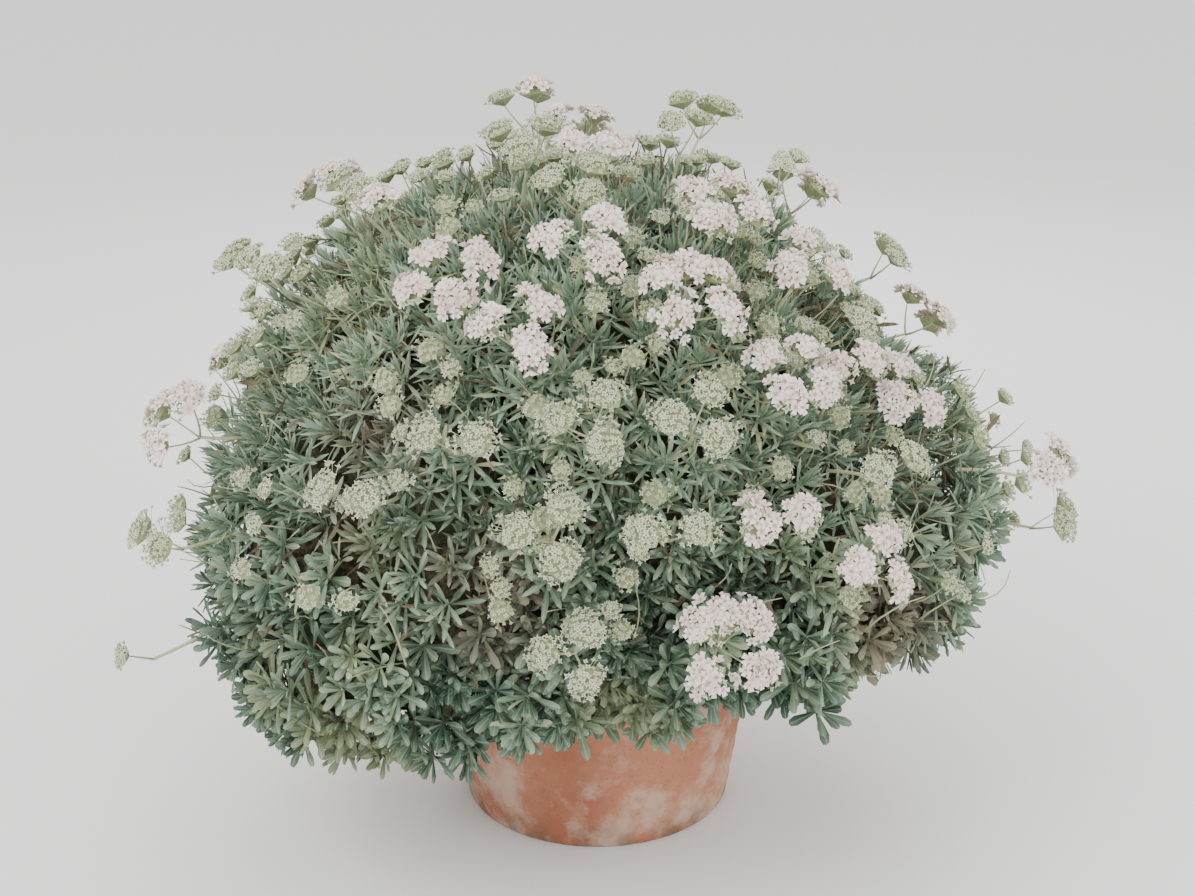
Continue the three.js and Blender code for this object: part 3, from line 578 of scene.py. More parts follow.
# A floret: a shallow cup with a lobed rim
def floretMesh(name, seed, lobes, notch, blunt, depth, ragged):
    random = np.random.default_rng(seed)
    points, layout = [(0, 0, 0.06)], [(0.5, 0)]
    for i in range(lobes):
        size = random.uniform(1 - ragged, 1 + ragged)
        for shift in ((-blunt, blunt) if blunt else (0,)):
            a = (i + shift) / lobes * math.tau
            points.append((size * math.cos(a), size * math.sin(a), 0.3 + random.uniform(-0.12, 0.12)))
            layout.append((0.5, 1))
        a = (i + 0.5) / lobes * math.tau
        points.append((notch * math.cos(a), notch * math.sin(a), 0.12))
        layout.append((0.5, 0.45))
    rim = len(points) - 1
    points.append((0, 0, -depth))
    layout.append((0.5, 0.1))
    faces = [(0, 1 + i, 1 + (i + 1) % rim) for i in range(rim)]
    faces += [(rim + 1, 1 + (i + 1) % rim, 1 + i) for i in range(rim)]
    tones = [random.uniform(0, 1)] * len(points)
    return meshOf(name, points, faces, [0] * len(faces), layout, tones)


def rayMesh():  # a thread of unit length, thickest at its top
    points = [(0, 0, 0)] + [(math.cos(a), math.sin(a), 1) for a in np.arange(3) / 3 * math.tau]
    faces = [(0, 2, 1), (0, 3, 2), (0, 1, 3), (1, 2, 3)]
    return meshOf("ray", points, faces)


# The closed cushion of bracts and ray tips below the florets of a head of unit radius
def cushionMesh():
    sides, rings = 9, [(0.10, 0.06), (0.62, 0.34), (0.9, 0.54), (0.72, 0.74)]
    points, layout = [(0, 0, 0.02)], [(0.5, 0)]
    for radius, height in rings:
        for j in range(sides):
            a = j / sides * math.tau
            wide = radius * (1 + 0.09 * math.sin(3 * a + 7 * height))
            points.append((wide * math.cos(a), wide * math.sin(a), height))
            layout.append((0.5, 0.16 * height))
    points.append((0, 0, 0.86))
    layout.append((0.5, 0.1))
    last = len(points) - 1
    faces = [(0, 1 + (j + 1) % sides, 1 + j) for j in range(sides)]
    for i in range(len(rings) - 1):
        low, high = 1 + i * sides, 1 + (i + 1) * sides
        faces += [(low + j, low + (j + 1) % sides, high + (j + 1) % sides, high + j) for j in range(sides)]
    faces += [(last, last - sides + j, last - sides + (j + 1) % sides) for j in range(sides)]
    return meshOf("cushion", points, faces, [0] * len(faces), layout, [0.5] * len(points))


def twigMesh(seed):
    random = np.random.default_rng(seed)
    shape = ([], [], [])
    path = [np.zeros(3)]
    for _ in range(4):
        path.append(path[-1] + np.array([*random.uniform(-0.006, 0.006, 2), 0.017]))
    tube(shape, path, [0.0016, 0.0014, 0.0012, 0.001, 0.0006], 3)
    side = path[2] + np.array([0.012, 0.008, 0.022])
    tube(shape, [path[2], (path[2] + side) / 2 + 0.002, side], [0.001, 0.0008, 0.0005], 3)
    return meshOf("twig" + str(seed), *shape[:2])


def deadLeafMesh(seed):
    random = np.random.default_rng(seed)
    shape = ([], [], [], [], [])
    bend = random.uniform(0.25, 0.6)
    along, normal = np.array([1.0, 0, 0.2]), np.array([-0.2, 0, 1.0])
    sections = leafKinds["middle"]["sections"]
    addLeaf(shape, np.zeros(3), along, normal, 0.032, 0.006, bend, sections, random.uniform(0, 1))
    return meshOf("deadLeaf" + str(seed), *shape[:2])


def crumbMesh(seed):
    random = np.random.default_rng(seed)
    made = bmesh.new()
    bmesh.ops.create_icosphere(made, subdivisions=1, radius=1)
    for vertex in made.verts:
        vertex.co *= random.uniform(0.7, 1.15)
        vertex.co.z *= 0.7
    mesh = bpy.data.meshes.new("crumb" + str(seed))
    made.to_mesh(mesh)
    made.free()
    return mesh


# Node tree that sets copies of a collection's meshes on points, each turned by the point's axis,
# sized by its spread and picked by its kind
def copiesTree():
    tree = bpy.data.node_groups.new("set_copies", "GeometryNodeTree")
    sockets = {}
    for name, kind, value in [
        ("Points", "NodeSocketGeometry", None), ("Copies", "NodeSocketCollection", None),
        ("Size", "NodeSocketFloat", 1.0), ("Size spread", "NodeSocketFloat", 0.1),
        ("Lean", "NodeSocketFloat", 0.0), ("Seed", "NodeSocketInt", 1),
        ("Finish", "NodeSocketMaterial", None),
    ]:
        socket = tree.interface.new_socket(name, in_out="INPUT", socket_type=kind)
        if value is not None:
            socket.default_value = value
        sockets[name] = socket.identifier
    tree.interface.new_socket("Copies set", in_out="OUTPUT", socket_type="NodeSocketGeometry")

    def node(kind, settings, inputs, output=0):
        made = tree.nodes.new(kind)
        for name, value in settings.items():
            setattr(made, name, value)
        for name, value in inputs.items():
            if isinstance(value, bpy.types.NodeSocket):
                tree.links.new(value, made.inputs[name])
            else:
                made.inputs[name].default_value = value
        return made.outputs[output]

    def read(name, kind):
        return node("GeometryNodeInputNamedAttribute", {"data_type": kind}, {"Name": name})

    def number(operation, first, second):
        return node("ShaderNodeMath", {"operation": operation}, {0: first, 1: second})

    def random(low, high, shift):
        seed = node("FunctionNodeIntegerMath", {"operation": "ADD"}, {0: given["Seed"], 1: shift})
        return node("FunctionNodeRandomValue", {"data_type": "FLOAT"}, {2: low, 3: high, "Seed": seed}, 1)

    def turned(rotation, axis, angle):
        by = node("FunctionNodeAxisAngleToRotation", {}, {"Axis": axis, "Angle": angle})
        inputs = {"Rotation": rotation, "Rotate By": by}
        return node("FunctionNodeRotateRotation", {"rotation_space": "LOCAL"}, inputs)

    given = tree.nodes.new("NodeGroupInput").outputs
    copies = node("GeometryNodeCollectionInfo", {},
                  {"Collection": given["Copies"], "Separate Children": True, "Reset Children": True})
    facing = node("FunctionNodeAlignRotationToVector", {"axis": "Z"}, {"Vector": read("axis", "FLOAT_VECTOR")})
    spun = turned(facing, (0, 0, 1), random(0.0, math.tau, 1))
    tipped = turned(spun, (1, 0, 0), number("MULTIPLY", random(-1.0, 1.0, 2), given["Lean"]))
    least = number("SUBTRACT", 1.0, given["Size spread"])
    most = number("ADD", 1.0, given["Size spread"])
    size = number("MULTIPLY", random(least, most, 3), given["Size"])
    scale = node("ShaderNodeVectorMath", {"operation": "SCALE"},
                 {0: read("spread", "FLOAT_VECTOR"), "Scale": size})
    placed = node("GeometryNodeInstanceOnPoints", {}, {
        "Points": given["Points"], "Instance": copies, "Pick Instance": True,
        "Instance Index": read("kind", "INT"), "Rotation": tipped, "Scale": scale})
    real = node("GeometryNodeRealizeInstances", {}, {"Geometry": placed})
    done = node("GeometryNodeSetMaterial", {}, {"Geometry": real, "Material": given["Finish"]})
    tree.links.new(done, tree.nodes.new("NodeGroupOutput").inputs[0])
    return tree, sockets


setCopies, copySockets = copiesTree()


def stock(name, meshes):  # a collection of the meshes that copies are made of, in this order
    made = bpy.data.collections.new(name)
    for i, mesh in enumerate(meshes):
        made.objects.link(bpy.data.objects.new(f"{name}_{i:02d}", mesh))
    return made


# Points: rows of place, axis, spread, kind, tone, dry
def scattered(name, rows, copies, material, size=1.0, sizeSpread=0.1, lean=0.0, seed=1):
    mesh = bpy.data.meshes.new(name)
    mesh.from_pydata([tuple(row[0]) for row in rows], [], [])
    for label, kind, slot, cell in [
        ("axis", "FLOAT_VECTOR", "vector", 1), ("spread", "FLOAT_VECTOR", "vector", 2),
        ("kind", "INT", "value", 3), ("tone", "FLOAT", "value", 4), ("dry", "FLOAT", "value", 5),
    ]:
        values = np.array([row[cell] for row in rows], np.int32 if kind == "INT" else np.float32)
        mesh.attributes.new(label, kind, "POINT").data.foreach_set(slot, values.ravel())
    made = pieceOf(name, mesh)
    work = made.modifiers.new("copies", "NODES")
    work.node_group = setCopies
    for label, value in [("Copies", copies), ("Size", size), ("Size spread", sizeSpread), ("Lean", lean),
                         ("Seed", seed), ("Finish", material)]:
        work[copySockets[label]] = value
    bpy.context.view_layer.update()
    graph = bpy.context.evaluated_depsgraph_get()
    result = bpy.data.meshes.new_from_object(made.evaluated_get(graph), preserve_all_data_layers=True,
                                             depsgraph=graph)
    made.modifiers.remove(work)
    made.data = result
    result.name = name
    for label in ("axis", "spread", "kind"):
        if label in result.attributes:
            result.attributes.remove(result.attributes[label])
    return made


def joined(name, parts):  # several pieces as one
    with bpy.context.temp_override(active_object=parts[0], object=parts[0],
                                   selected_editable_objects=parts, selected_objects=parts):
        bpy.ops.object.join()
    parts[0].name = parts[0].data.name = name
    return parts[0]


def tubes(name, shape, material, smooth=True):
    mesh = meshOf(name, shape[0], shape[1], smooth=smooth, material=material)
    numbersOn(mesh, "tone", shape[2])
    return pieceOf(name, mesh)


def dressed(piece, slot, *nodes):
    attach(piece, "root")
    if nodes:
        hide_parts(*nodes)


# Leafy branches: lengths in metres, heights as the upward part of a direction
foliage = {
    "shoots": 2500, "shootsAt": 0.87, "wander": 0.013, "sizeSpread": 0.16, "lean": 0.12, "seed": 11,
    "clumpDepth": 0.042, "clumpStart": 0.02, "clumpReach": 0.062, "sunkSpread": 0.012, "tipRoom": 0.002,
    "broadBelow": -0.15, "middleBelow": 0.10, "kindSpread": 0.07, "tall": (0.030, 0.042, 0.050),
    "upward": 0.42, "turnSpread": 0.18, "curtain": 380, "curtainBand": 15, "curtainDepth": (0.022, 0.075),
    "dryAt": [(-123, 13, 0.28), (-106, -7, 0.22), (-38, -13, 0.28), (70, 20, 0.3), (150, -8, 0.3)],
    "dryNear": 1.6, "dryPatch": 0.5, "dryMost": 0.65,
    # leaf tone: painted light makes higher leaves lighter, painted shade darkens those deep between clumps;
    # patch and spread are the leaves' own varied tone
    "toneLeast": 0.03, "paintedLightByHeight": 1.04, "tonePatch": 0.45, "paintedShadeInValleys": 0.25, "toneSpread": 0.12,
}
random = np.random.default_rng(foliage["seed"])
shootStock = stock("shoots", [shootMesh(kind, seed) for kind in leafKinds for seed in (1, 2, 3, 4)])
directions = evenDirections(foliage["shoots"], skirtBottom - 2, 0.7)
directions = unit(directions + random.normal(0, foliage["wander"], directions.shape))
edge = lowestAt(directions) - 1.5 + random.uniform(-2, 1, len(directions))
directions = directions[directions[:, 2] > np.sin(np.radians(edge))]
surface = reachPoint(directions, foliage["shootsAt"])
nearest = np.linalg.norm(surface[:, None] - rosetteCentres[None], axis=2).min(1)
valley = np.clip((nearest - foliage["clumpStart"]) / foliage["clumpReach"], 0, 1)
valley = valley * valley * (3 - 2 * valley)
sunk = foliage["clumpDepth"] * valley + random.uniform(0, foliage["sunkSpread"], len(directions))
# A curtain of broad rosettes behind the lowest ones, so that the skirt is closed; they count as deep in a
# valley, so they get the full painted shade
share = (1 - math.sin(math.radians(skirtBottom))) / math.radians(foliage["curtainBand"])
behind = evenDirections(int(foliage["curtain"] * share), skirtBottom, 1.6)
above = np.degrees(np.arcsin(behind[:, 2])) - lowestAt(behind)
behind = behind[(above > 0.5) & (above < foliage["curtainBand"])]
directions = np.vstack([directions, behind])
sunk = np.concatenate([sunk, random.uniform(*foliage["curtainDepth"], len(behind))])
valley = np.concatenate([valley, np.full(len(behind), 1.0)])
rows = [[] for _ in branchAxes]
for direction, depth, low in zip(directions, sunk, valley):
    mixed = direction[2] + random.normal(0, foliage["kindSpread"])
    kind = 0 if mixed < foliage["broadBelow"] else 1 if mixed < foliage["middleBelow"] else 2
    axis = unit(direction + up * foliage["upward"] + random.normal(0, foliage["turnSpread"], 3))
    place = reachPoint(direction, 1, -depth - foliage["tipRoom"]) - axis * foliage["tall"][kind]
    patch = noise.noise(Vector(place * 7)) + 0.35 * noise.noise(Vector(place * 23))
    near = max(1 - np.linalg.norm(direction - toward(*spot[:2])) / spot[2] for spot in foliage["dryAt"])
    dry = np.clip(foliage["dryNear"] * near + foliage["dryPatch"] * patch, 0, foliage["dryMost"])
    # painted light: the tone rises with height; painted shade: it falls deep between clumps and on the curtain
    height = np.clip(0.5 + 1.1 * direction[2], 0, 1)
    tone = foliage["toneLeast"] + foliage["paintedLightByHeight"] * height + foliage["tonePatch"] * patch
    tone += random.normal(0, foliage["toneSpread"]) - foliage["paintedShadeInValleys"] * low
    rows[branchAt(direction)].append((place, axis, (1, 1, 1), 4 * kind + int(random.integers(4)),
                                      np.clip(tone, 0, 1), dry * (0.05 + 0.95 * low)))
leafPieces = []
for i, cellRows in enumerate(rows):
    leafPieces.append(scattered(f"leaves_{i + 1:02d}", cellRows, shootStock, leafMaterial,
                                sizeSpread=foliage["sizeSpread"], lean=foliage["lean"], seed=20 + i))
print("leaves:", sum(map(len, rows)), "shoots")

# The dense inside of each branch: dry thatch with twigs and dead leaves on it, its dark colour partly painted
# shade of the bush's inside
thatch = {
    "waist": (0.56, 0.84), "rim": (0.73, 0.997), "tufts": ((0.74, 0.79, 0.70), (0.38, 0.81, 0.72)),
    "tuftSpread": 0.03, "top": 0.76, "shortest": 0.05, "lowFill": 0.105, "fillStart": 0.05, "fillOver": 0.3,
    "cuts": 2, "rough": 0.010, "twigs": 480, "deadLeaves": 1300, "wander": 0.03, "turnSpread": 0.6, "seed": 5,
}


def coneOutline(branch):  # corners of a branch's cone on the plane one unit along its axis
    axis = branchAxes[branch]
    across, along = sidesOf(axis)
    azimuth = math.atan2(axis[1], axis[0])
    low = math.radians(lowestAt(axis))
    bottom = np.array([-math.sin(low) * math.cos(azimuth), -math.sin(low) * math.sin(azimuth), math.cos(low)])
    outline = [(-3, -3), (3, -3), (3, 3), (-3, 3)]
    for border in [*branchBorders[branch], bottom]:
        side = [border @ (axis + x * across + y * along) for x, y in outline]
        cut = []
        for i, here in enumerate(side):
            j = (i + 1) % len(side)
            if here >= 0:
                cut.append(outline[i])
            if (here >= 0) != (side[j] >= 0):
                t = here / (here - side[j])
                cut.append(tuple(outline[i][k] + (outline[j][k] - outline[i][k]) * t for k in (0, 1)))
        outline = cut
    following = outline[1:] + outline[:1]
    return [p for p, after in zip(outline, following) if math.dist(p, after) > thatch["shortest"]]


def branchCore(branch):
    axis = branchAxes[branch]
    across, along = sidesOf(axis)
    outline = coneOutline(branch)

    def spot(p, spread):
        return axis + p[0] * spread * across + p[1] * spread * along

    def reached(p, spread, at):  # fuller towards the skirt
        direction = unit(spot(p, spread))
        low = float(np.clip((-direction[2] - thatch["fillStart"]) / thatch["fillOver"], 0, 1))
        return reachPoint(direction, at + thatch["lowFill"] * low)

    def bridge(lower, upper):
        for i in range(len(lower)):
            j = (i + 1) % len(lower)
            faces.append((lower[i], lower[j], upper[j], upper[i]))

    points, faces = [], []
    count = len(outline)
    foot = [crown + spot(p, mound["footSpread"]) * mound["footAt"] * reachOf(axis) for p in outline]
    (waistAt, waistSpread), (rimAt, rimSpread) = thatch["waist"], thatch["rim"]
    waist = [reachPoint(unit(spot(p, waistSpread)), waistAt) for p in outline]
    rings = [foot, waist, [reached(p, rimSpread, rimAt) for p in outline]]
    doubled = []
    for p, after in zip(outline, outline[1:] + outline[:1]):
        doubled += [p, tuple((p[k] + after[k]) / 2 for k in (0, 1))]
    for r, (spread, high, low) in enumerate(thatch["tufts"]):
        at = [(high if j % 2 == r else low) + thatch["tuftSpread"] * draw(branch + j, 70 + r)
              for j in range(len(doubled))]
        rings.append([reached(p, spread, share) for p, share in zip(doubled, at)])
    starts = []
    for ring in rings:
        starts.append(list(range(len(points), len(points) + len(ring))))
        points += ring
    faces.append(tuple(reversed(starts[0])))
    bridge(starts[0], starts[1])
    bridge(starts[1], starts[2])
    for j, here in enumerate(starts[2]):
        after = starts[2][(j + 1) % count]
        one, two, three = starts[3][2 * j], starts[3][2 * j + 1], starts[3][(2 * j + 2) % (2 * count)]
        faces += [(here, two, one), (here, after, two), (after, three, two)]
    bridge(starts[3], starts[4])
    points.append(reached((0, 0), 1, thatch["top"]))
    faces += [(here, starts[4][(j + 1) % (2 * count)], len(points) - 1) for j, here in enumerate(starts[4])]
    made = bmesh.new()
    corners = [made.verts.new(p) for p in points]
    for face in faces:
        made.faces.new([corners[i] for i in face])
    bmesh.ops.triangulate(made, faces=made.faces)
    bmesh.ops.subdivide_edges(made, edges=made.edges, cuts=thatch["cuts"], use_grid_fill=True)
    made.normal_update()
    for vertex in made.verts:
        wave = noise.noise(vertex.co * 24) + 0.6 * noise.noise(vertex.co * 61)
        vertex.co -= vertex.normal * thatch["rough"] * (0.4 + wave)
    mesh = bpy.data.meshes.new("core")
    made.to_mesh(mesh)
    made.free()
    mesh.shade_smooth()
    mesh.materials.append(thatchAndShadeMaterial)
    mesh.attributes.new("tone", "FLOAT", "POINT")
    return pieceOf(f"core_{branch:02d}", mesh)


random = np.random.default_rng(thatch["seed"])
cores = [branchCore(i) for i in range(len(branchAxes))]


def onCores(count, phase, share, outward, tones):  # rows of copies set on the cores
    made = []
    for direction in evenDirections(count, -mound["skirtLow"] - 6, phase):
        direction = unit(direction + random.normal(0, thatch["wander"], 3))
        if direction[2] < math.sin(math.radians(0.9 * lowestAt(direction))):
            continue
        axis = unit(direction * outward + random.normal(0, thatch["turnSpread"], 3))
        place = reachPoint(direction, random.uniform(*share))
        made.append((place, axis, (1, 1, 1), int(random.integers(4)), random.uniform(*tones), 0.0))
    return made


twigStock = stock("twigs", [twigMesh(seed) for seed in range(4)])
deadStock = stock("deadLeaves", [deadLeafMesh(seed) for seed in range(4)])
twigRows = onCores(thatch["twigs"], 0.3, (0.72, 0.84), 1.1, (0.2, 0.9))
twigs = scattered("twigs", twigRows, twigStock, thatchAndShadeMaterial, sizeSpread=0.3, seed=51)
deadRows = onCores(thatch["deadLeaves"], 1.9, (0.76, 0.92), 0.5, (0.3, 1))
deadLeaves = scattered("deadLeaves", deadRows, deadStock, thatchAndShadeMaterial, sizeSpread=0.25, seed=52)
thatchPiece = joined("thatch", [*cores, twigs, deadLeaves])
print("thatch done")

# Blooms: domes of florets on rays, over forked stalks
bloom = {
    "pinkFlorets": 23, "pinkSize": 0.0082, "pinkCushion": (0.70, 0.80), "budEdge": 0.5, "budSide": 0.72,
    "budSize": 0.62, "creamFlorets": 58, "creamSize": 0.0037, "creamCushion": (0.84, 0.86),
    "domeFoot": 0.52, "domeRise": 0.45, "lopsided": 0.2, "toneSpread": 0.2, "seed": 8,
    "rayRadius": 0.00055, "stalkRadius": (0.0026, 0.0019), "forkRadius": (0.0016, 0.0009),
    "nestled": 300, "nestledGroup": 4, "nestledFlorets": 22, "nestledRadius": (0.011, 0.020),
    "nestledStem": (0.0014, 0.001), "nestledLength": 0.06, "straws": 260, "strawRadius": (0.0014, 0.0007),
}
random = np.random.default_rng(bloom["seed"])
pinkStock = stock("pinkFlorets", [floretMesh(f"pink{i}", i, 5, 0.48, 0.29, 0.45, 0.25) for i in range(4)])
creamStock = stock("creamFlorets", [floretMesh(f"cream{i}", 10 + i, 4, 0.46, 0, 0.7, 0.2) for i in range(4)])
cushionStock = stock("cushions", [cushionMesh()])
rayStock = stock("rays", [rayMesh()])
pinkRows, creamRows, nestledRows, cushionRows, rayRows = [], [], [], [], []
stalkShape = ([], [], [])


def addHead(rows, foot, axis, radius, florets, size, tone):
    across, along = sidesOf(axis)
    spin, turn = random.uniform(0, math.tau, 2)
    wide, high = bloom["pinkCushion"] if rows is pinkRows else bloom["creamCushion"]
    cushionRows.append((foot, axis, (radius * wide, radius * wide, radius * high), 0, 0.9, 0.0))
    for j in range(florets):
        a = j * goldenTurn + spin
        out = math.sqrt((j + 0.5) / florets)
        rise = math.sqrt(1 - out * out)
        out *= 1 + bloom["lopsided"] * (math.sin(2 * a + turn) + 0.6 * math.sin(3 * a + 2 * turn))
        outward = math.cos(a) * across + math.sin(a) * along
        place = foot + radius * (outward * out * random.uniform(0.86, 1.1)
                                 + axis * (bloom["domeFoot"] + bloom["domeRise"] * rise
                                           + random.uniform(-0.07, 0.08)))
        facing = unit(axis * (0.3 + 0.7 * rise) + outward * out * 0.95 + random.normal(0, 0.2, 3))
        own = float(np.clip(tone + random.normal(0, bloom["toneSpread"]), 0, 1))
        budded = rows is pinkRows and out > bloom["budEdge"] and math.sin(a + turn) > bloom["budSide"]
        chosen, wide = (creamRows, size * bloom["budSize"]) if budded else (rows, size)
        chosen.append((place, facing, (wide,) * 3, int(random.integers(4)), own, 0.0))
        start = foot + axis * 0.001
        way = place - facing * size * 0.3 - start
        spread = (bloom["rayRadius"], bloom["rayRadius"], float(np.linalg.norm(way)))
        rayRows.append((start, unit(way), spread, 0, 0.3, 0.0))


def addSpray(spray, rows, florets, size):
    axis, fork, below = spray["axis"], spray["fork"], spray["below"]
    start = below["centre"] - below["axis"] * 0.006
    bow = np.cross(fork - start, up) * random.uniform(-0.12, 0.12)
    radii = np.linspace(*bloom["stalkRadius"], 6)
    tube(stalkShape, curved(start, fork, bow, 6), radii, 5, random.uniform(0, 1))
    tone = random.uniform(0, 0.8)
    for cluster in spray["clusters"]:
        foot = cluster["foot"] + cluster["axis"] * 0.002
        bow = axis * 0.06 * np.linalg.norm(foot - fork)
        radii = np.linspace(*bloom["forkRadius"], 4)
        tube(stalkShape, curved(fork - axis * 0.002, foot, -bow, 4), radii, 4, random.uniform(0, 1))
        addHead(rows, foot, cluster["axis"], cluster["radius"], florets, size, tone)


for spray in openPlaced:
    addSpray(spray, pinkRows, bloom["pinkFlorets"], bloom["pinkSize"])
for spray in palePlaced + budPlaced:
    addSpray(spray, creamRows, bloom["creamFlorets"], bloom["creamSize"])

# Smaller heads that nestle among the leaves, mostly on the front, and bare straws between them
allSprays = openPlaced + palePlaced + budPlaced
headFeet = np.array([cluster["foot"] for spray in allSprays for cluster in spray["clusters"]])
for direction in evenDirections(bloom["nestled"], -8, 4.4):
    direction = unit(direction + random.normal(0, 0.05, 3))
    front = noise.noise(Vector(direction * 2.6 + np.array([5.0, 2.0, 9.0])))
    tone = random.uniform(0.1, 1)
    if random.uniform(0, 1) > 0.40 - 0.30 * direction[1] + 0.6 * front:
        continue
    for _ in range(random.integers(1, bloom["nestledGroup"] + 1)):
        own = unit(direction + random.normal(0, 0.06, 3))
        radius = random.uniform(*bloom["nestledRadius"])
        axis = unit(own * 0.75 + up * 0.4 + random.normal(0, 0.14, 3))
        foot = reachPoint(own, 1, random.uniform(-0.018, -0.002) - radius * 0.4)
        if np.linalg.norm(headFeet - foot, axis=1).min() < 1.5 * radius:
            continue
        headFeet = np.vstack([headFeet, foot])
        bow = random.normal(0, 0.004, 3)
        path = curved(foot - axis * bloom["nestledLength"], foot, bow, 4)
        tube(stalkShape, path, np.linspace(*bloom["nestledStem"], 4), 3, random.uniform(0, 1))
        addHead(nestledRows, foot, axis, radius, bloom["nestledFlorets"], bloom["creamSize"] * 0.92, tone)
for direction in evenDirections(bloom["straws"], -20, 2.9):
    axis = unit(direction * 0.7 + up * 0.5 + random.normal(0, 0.28, 3))
    end = reachPoint(direction, 1, random.uniform(-0.025, 0.002))
    path = curved(end - axis * random.uniform(0.05, 0.09), end, random.normal(0, 0.005, 3), 5)
    tube(stalkShape, path, np.linspace(*bloom["strawRadius"], 5), 3, random.uniform(0, 1))

pinkPiece = scattered("blush_florets", pinkRows, pinkStock, pinkMaterial,
                      sizeSpread=0.22, lean=0.3, seed=61)
creamFlorets = scattered("creamFlorets", creamRows, creamStock, creamMaterial,
                         sizeSpread=0.24, lean=0.35, seed=62)
cushions = scattered("cushions", cushionRows, cushionStock, creamMaterial,
                     sizeSpread=0.04, lean=0.1, seed=64)
creamPiece = joined("cream_florets", [creamFlorets, cushions])
nestledPiece = scattered("nestled_florets", nestledRows, creamStock, creamMaterial,
                         sizeSpread=0.24, lean=0.35, seed=65)
rays = scattered("rays", rayRows, rayStock, stalkMaterial, sizeSpread=0.0, seed=63)
stalkPiece = joined("stalks", [tubes("stems", stalkShape, stalkMaterial), rays])
print("blooms:", len(pinkRows), "blush and", len(creamRows) + len(nestledRows), "cream florets")

# Pot, soil and wood
pot = {
    "height": 0.370, "base": 0.182, "waist": 0.230, "rim": 0.250, "rimDepth": 0.048, "wall": 0.015,
    "floor": 0.020, "sides": 112, "ridges": 44, "drains": 3, "drain": 0.009, "drainOffset": 0.100,
    "rounding": [0.005, 0.003, 0.004, 0.006, 0.006, 0.008],
}
soil = {"level": 0.338, "crown": 0.006, "rough": 0.0035, "sides": 80, "gap": 0.0004, "flatEdge": 0.985,
        "crumbs": 320, "crumbSize": (0.0012, 0.0042), "seed": 31}


def lathe(name, profile, sides, material, wave=None):  # profile from the axis round to the axis
    points, faces = [], []
    for r, z in profile[1:-1]:
        for j in range(sides):
            a = j / sides * math.tau
            points.append((r * math.cos(a), r * math.sin(a), z + (wave(r, a) if wave else 0)))
    rows = len(profile) - 2
    for i in range(rows - 1):
        for j in range(sides):
            low, high, k = i * sides, (i + 1) * sides, (j + 1) % sides
            faces.append((low + j, low + k, high + k, high + j))
    points += [(0, 0, profile[0][1]), (0, 0, profile[-1][1] + (wave(0, 0) if wave else 0))]
    low, high = len(points) - 2, len(points) - 1
    for j in range(sides):
        k = (j + 1) % sides
        faces.append((low, k, j))
        faces.append((high, (rows - 1) * sides + j, (rows - 1) * sides + k))
    mesh = meshOf(name, points, faces, smooth=True, material=material)
    mesh.set_sharp_from_angle(angle=math.radians(48))
    return pieceOf(name, mesh)


def rounded(corner, before, after, size, steps=5):  # a corner of a profile as a small arc
    corner, before, after = (np.array(p, float) for p in (corner, before, after))
    one, two = corner + unit(before - corner) * size, corner + unit(after - corner) * size
    t = np.linspace(0, 1, steps)[:, None]
    return [tuple(p) for p in (1 - t) ** 2 * one + 2 * t * (1 - t) * corner + t * t * two]


rimLow = pot["height"] - pot["rimDepth"]
innerTop, innerLow = pot["rim"] - pot["wall"], pot["base"] - pot["wall"] + 0.003
corners = [(pot["base"], 0), (pot["waist"], rimLow), (pot["rim"], rimLow + 0.003), (pot["rim"], pot["height"]),
           (innerTop, pot["height"]), (innerLow, pot["floor"])]
profile = [(0, 0), (0.09, 0)]
for i, (corner, size) in enumerate(zip(corners, pot["rounding"])):
    before = corners[i - 1] if i else (0, 0)
    after = corners[i + 1] if i + 1 < len(corners) else (0, pot["floor"])
    profile += rounded(corner, before, after, size)
    if i == 0:  # faint ridges of the wheel up the wall
        for t in np.linspace(0.06, 0.94, pot["ridges"]):
            r = pot["base"] + (pot["waist"] - pot["base"]) * t
            r += 0.0005 * math.sin(t * 90) + 0.0003 * math.sin(t * 37)
            profile.append((r, rimLow * t))
profile += [(0.09, pot["floor"]), (0, pot["floor"])]
potPiece = lathe("clay_pot", profile, pot["sides"], clayMaterial)
cutter = bmesh.new()
for i in range(pot["drains"]):
    a = i / pot["drains"] * math.tau
    made = bmesh.ops.create_cone(cutter, cap_ends=True, segments=24, radius1=pot["drain"],
                                 radius2=pot["drain"], depth=0.08)
    offset = (pot["drainOffset"] * math.cos(a), pot["drainOffset"] * math.sin(a), 0.01)
    bmesh.ops.translate(cutter, verts=made["verts"], vec=offset)
cutterMesh = bpy.data.meshes.new("drains")
cutter.to_mesh(cutterMesh)
cutter.free()
drains = pieceOf("drains", cutterMesh)
cut = potPiece.modifiers.new("drains", "BOOLEAN")
cut.operation, cut.solver, cut.object = "DIFFERENCE", "EXACT", drains
bpy.context.view_layer.update()
graph = bpy.context.evaluated_depsgraph_get()
drilled = bpy.data.meshes.new_from_object(potPiece.evaluated_get(graph), depsgraph=graph)
potPiece.modifiers.clear()
potPiece.data = drilled
bpy.data.objects.remove(drains)

share = (soil["level"] - pot["floor"]) / (pot["height"] - 0.004 - pot["floor"])
soilEdge = innerLow + (innerTop - innerLow) * share - soil["gap"]
soilFoot = innerLow - 0.0006


def soilWave(r, a):  # the top alone is rough, and not where it meets the pot
    if r > soilEdge * soil["flatEdge"] or r == soilFoot:
        return 0.0
    p = Vector((r * math.cos(a), r * math.sin(a), 0.4))
    return soil["rough"] * (noise.noise(p * 22) + 0.6 * noise.noise(p * 70))


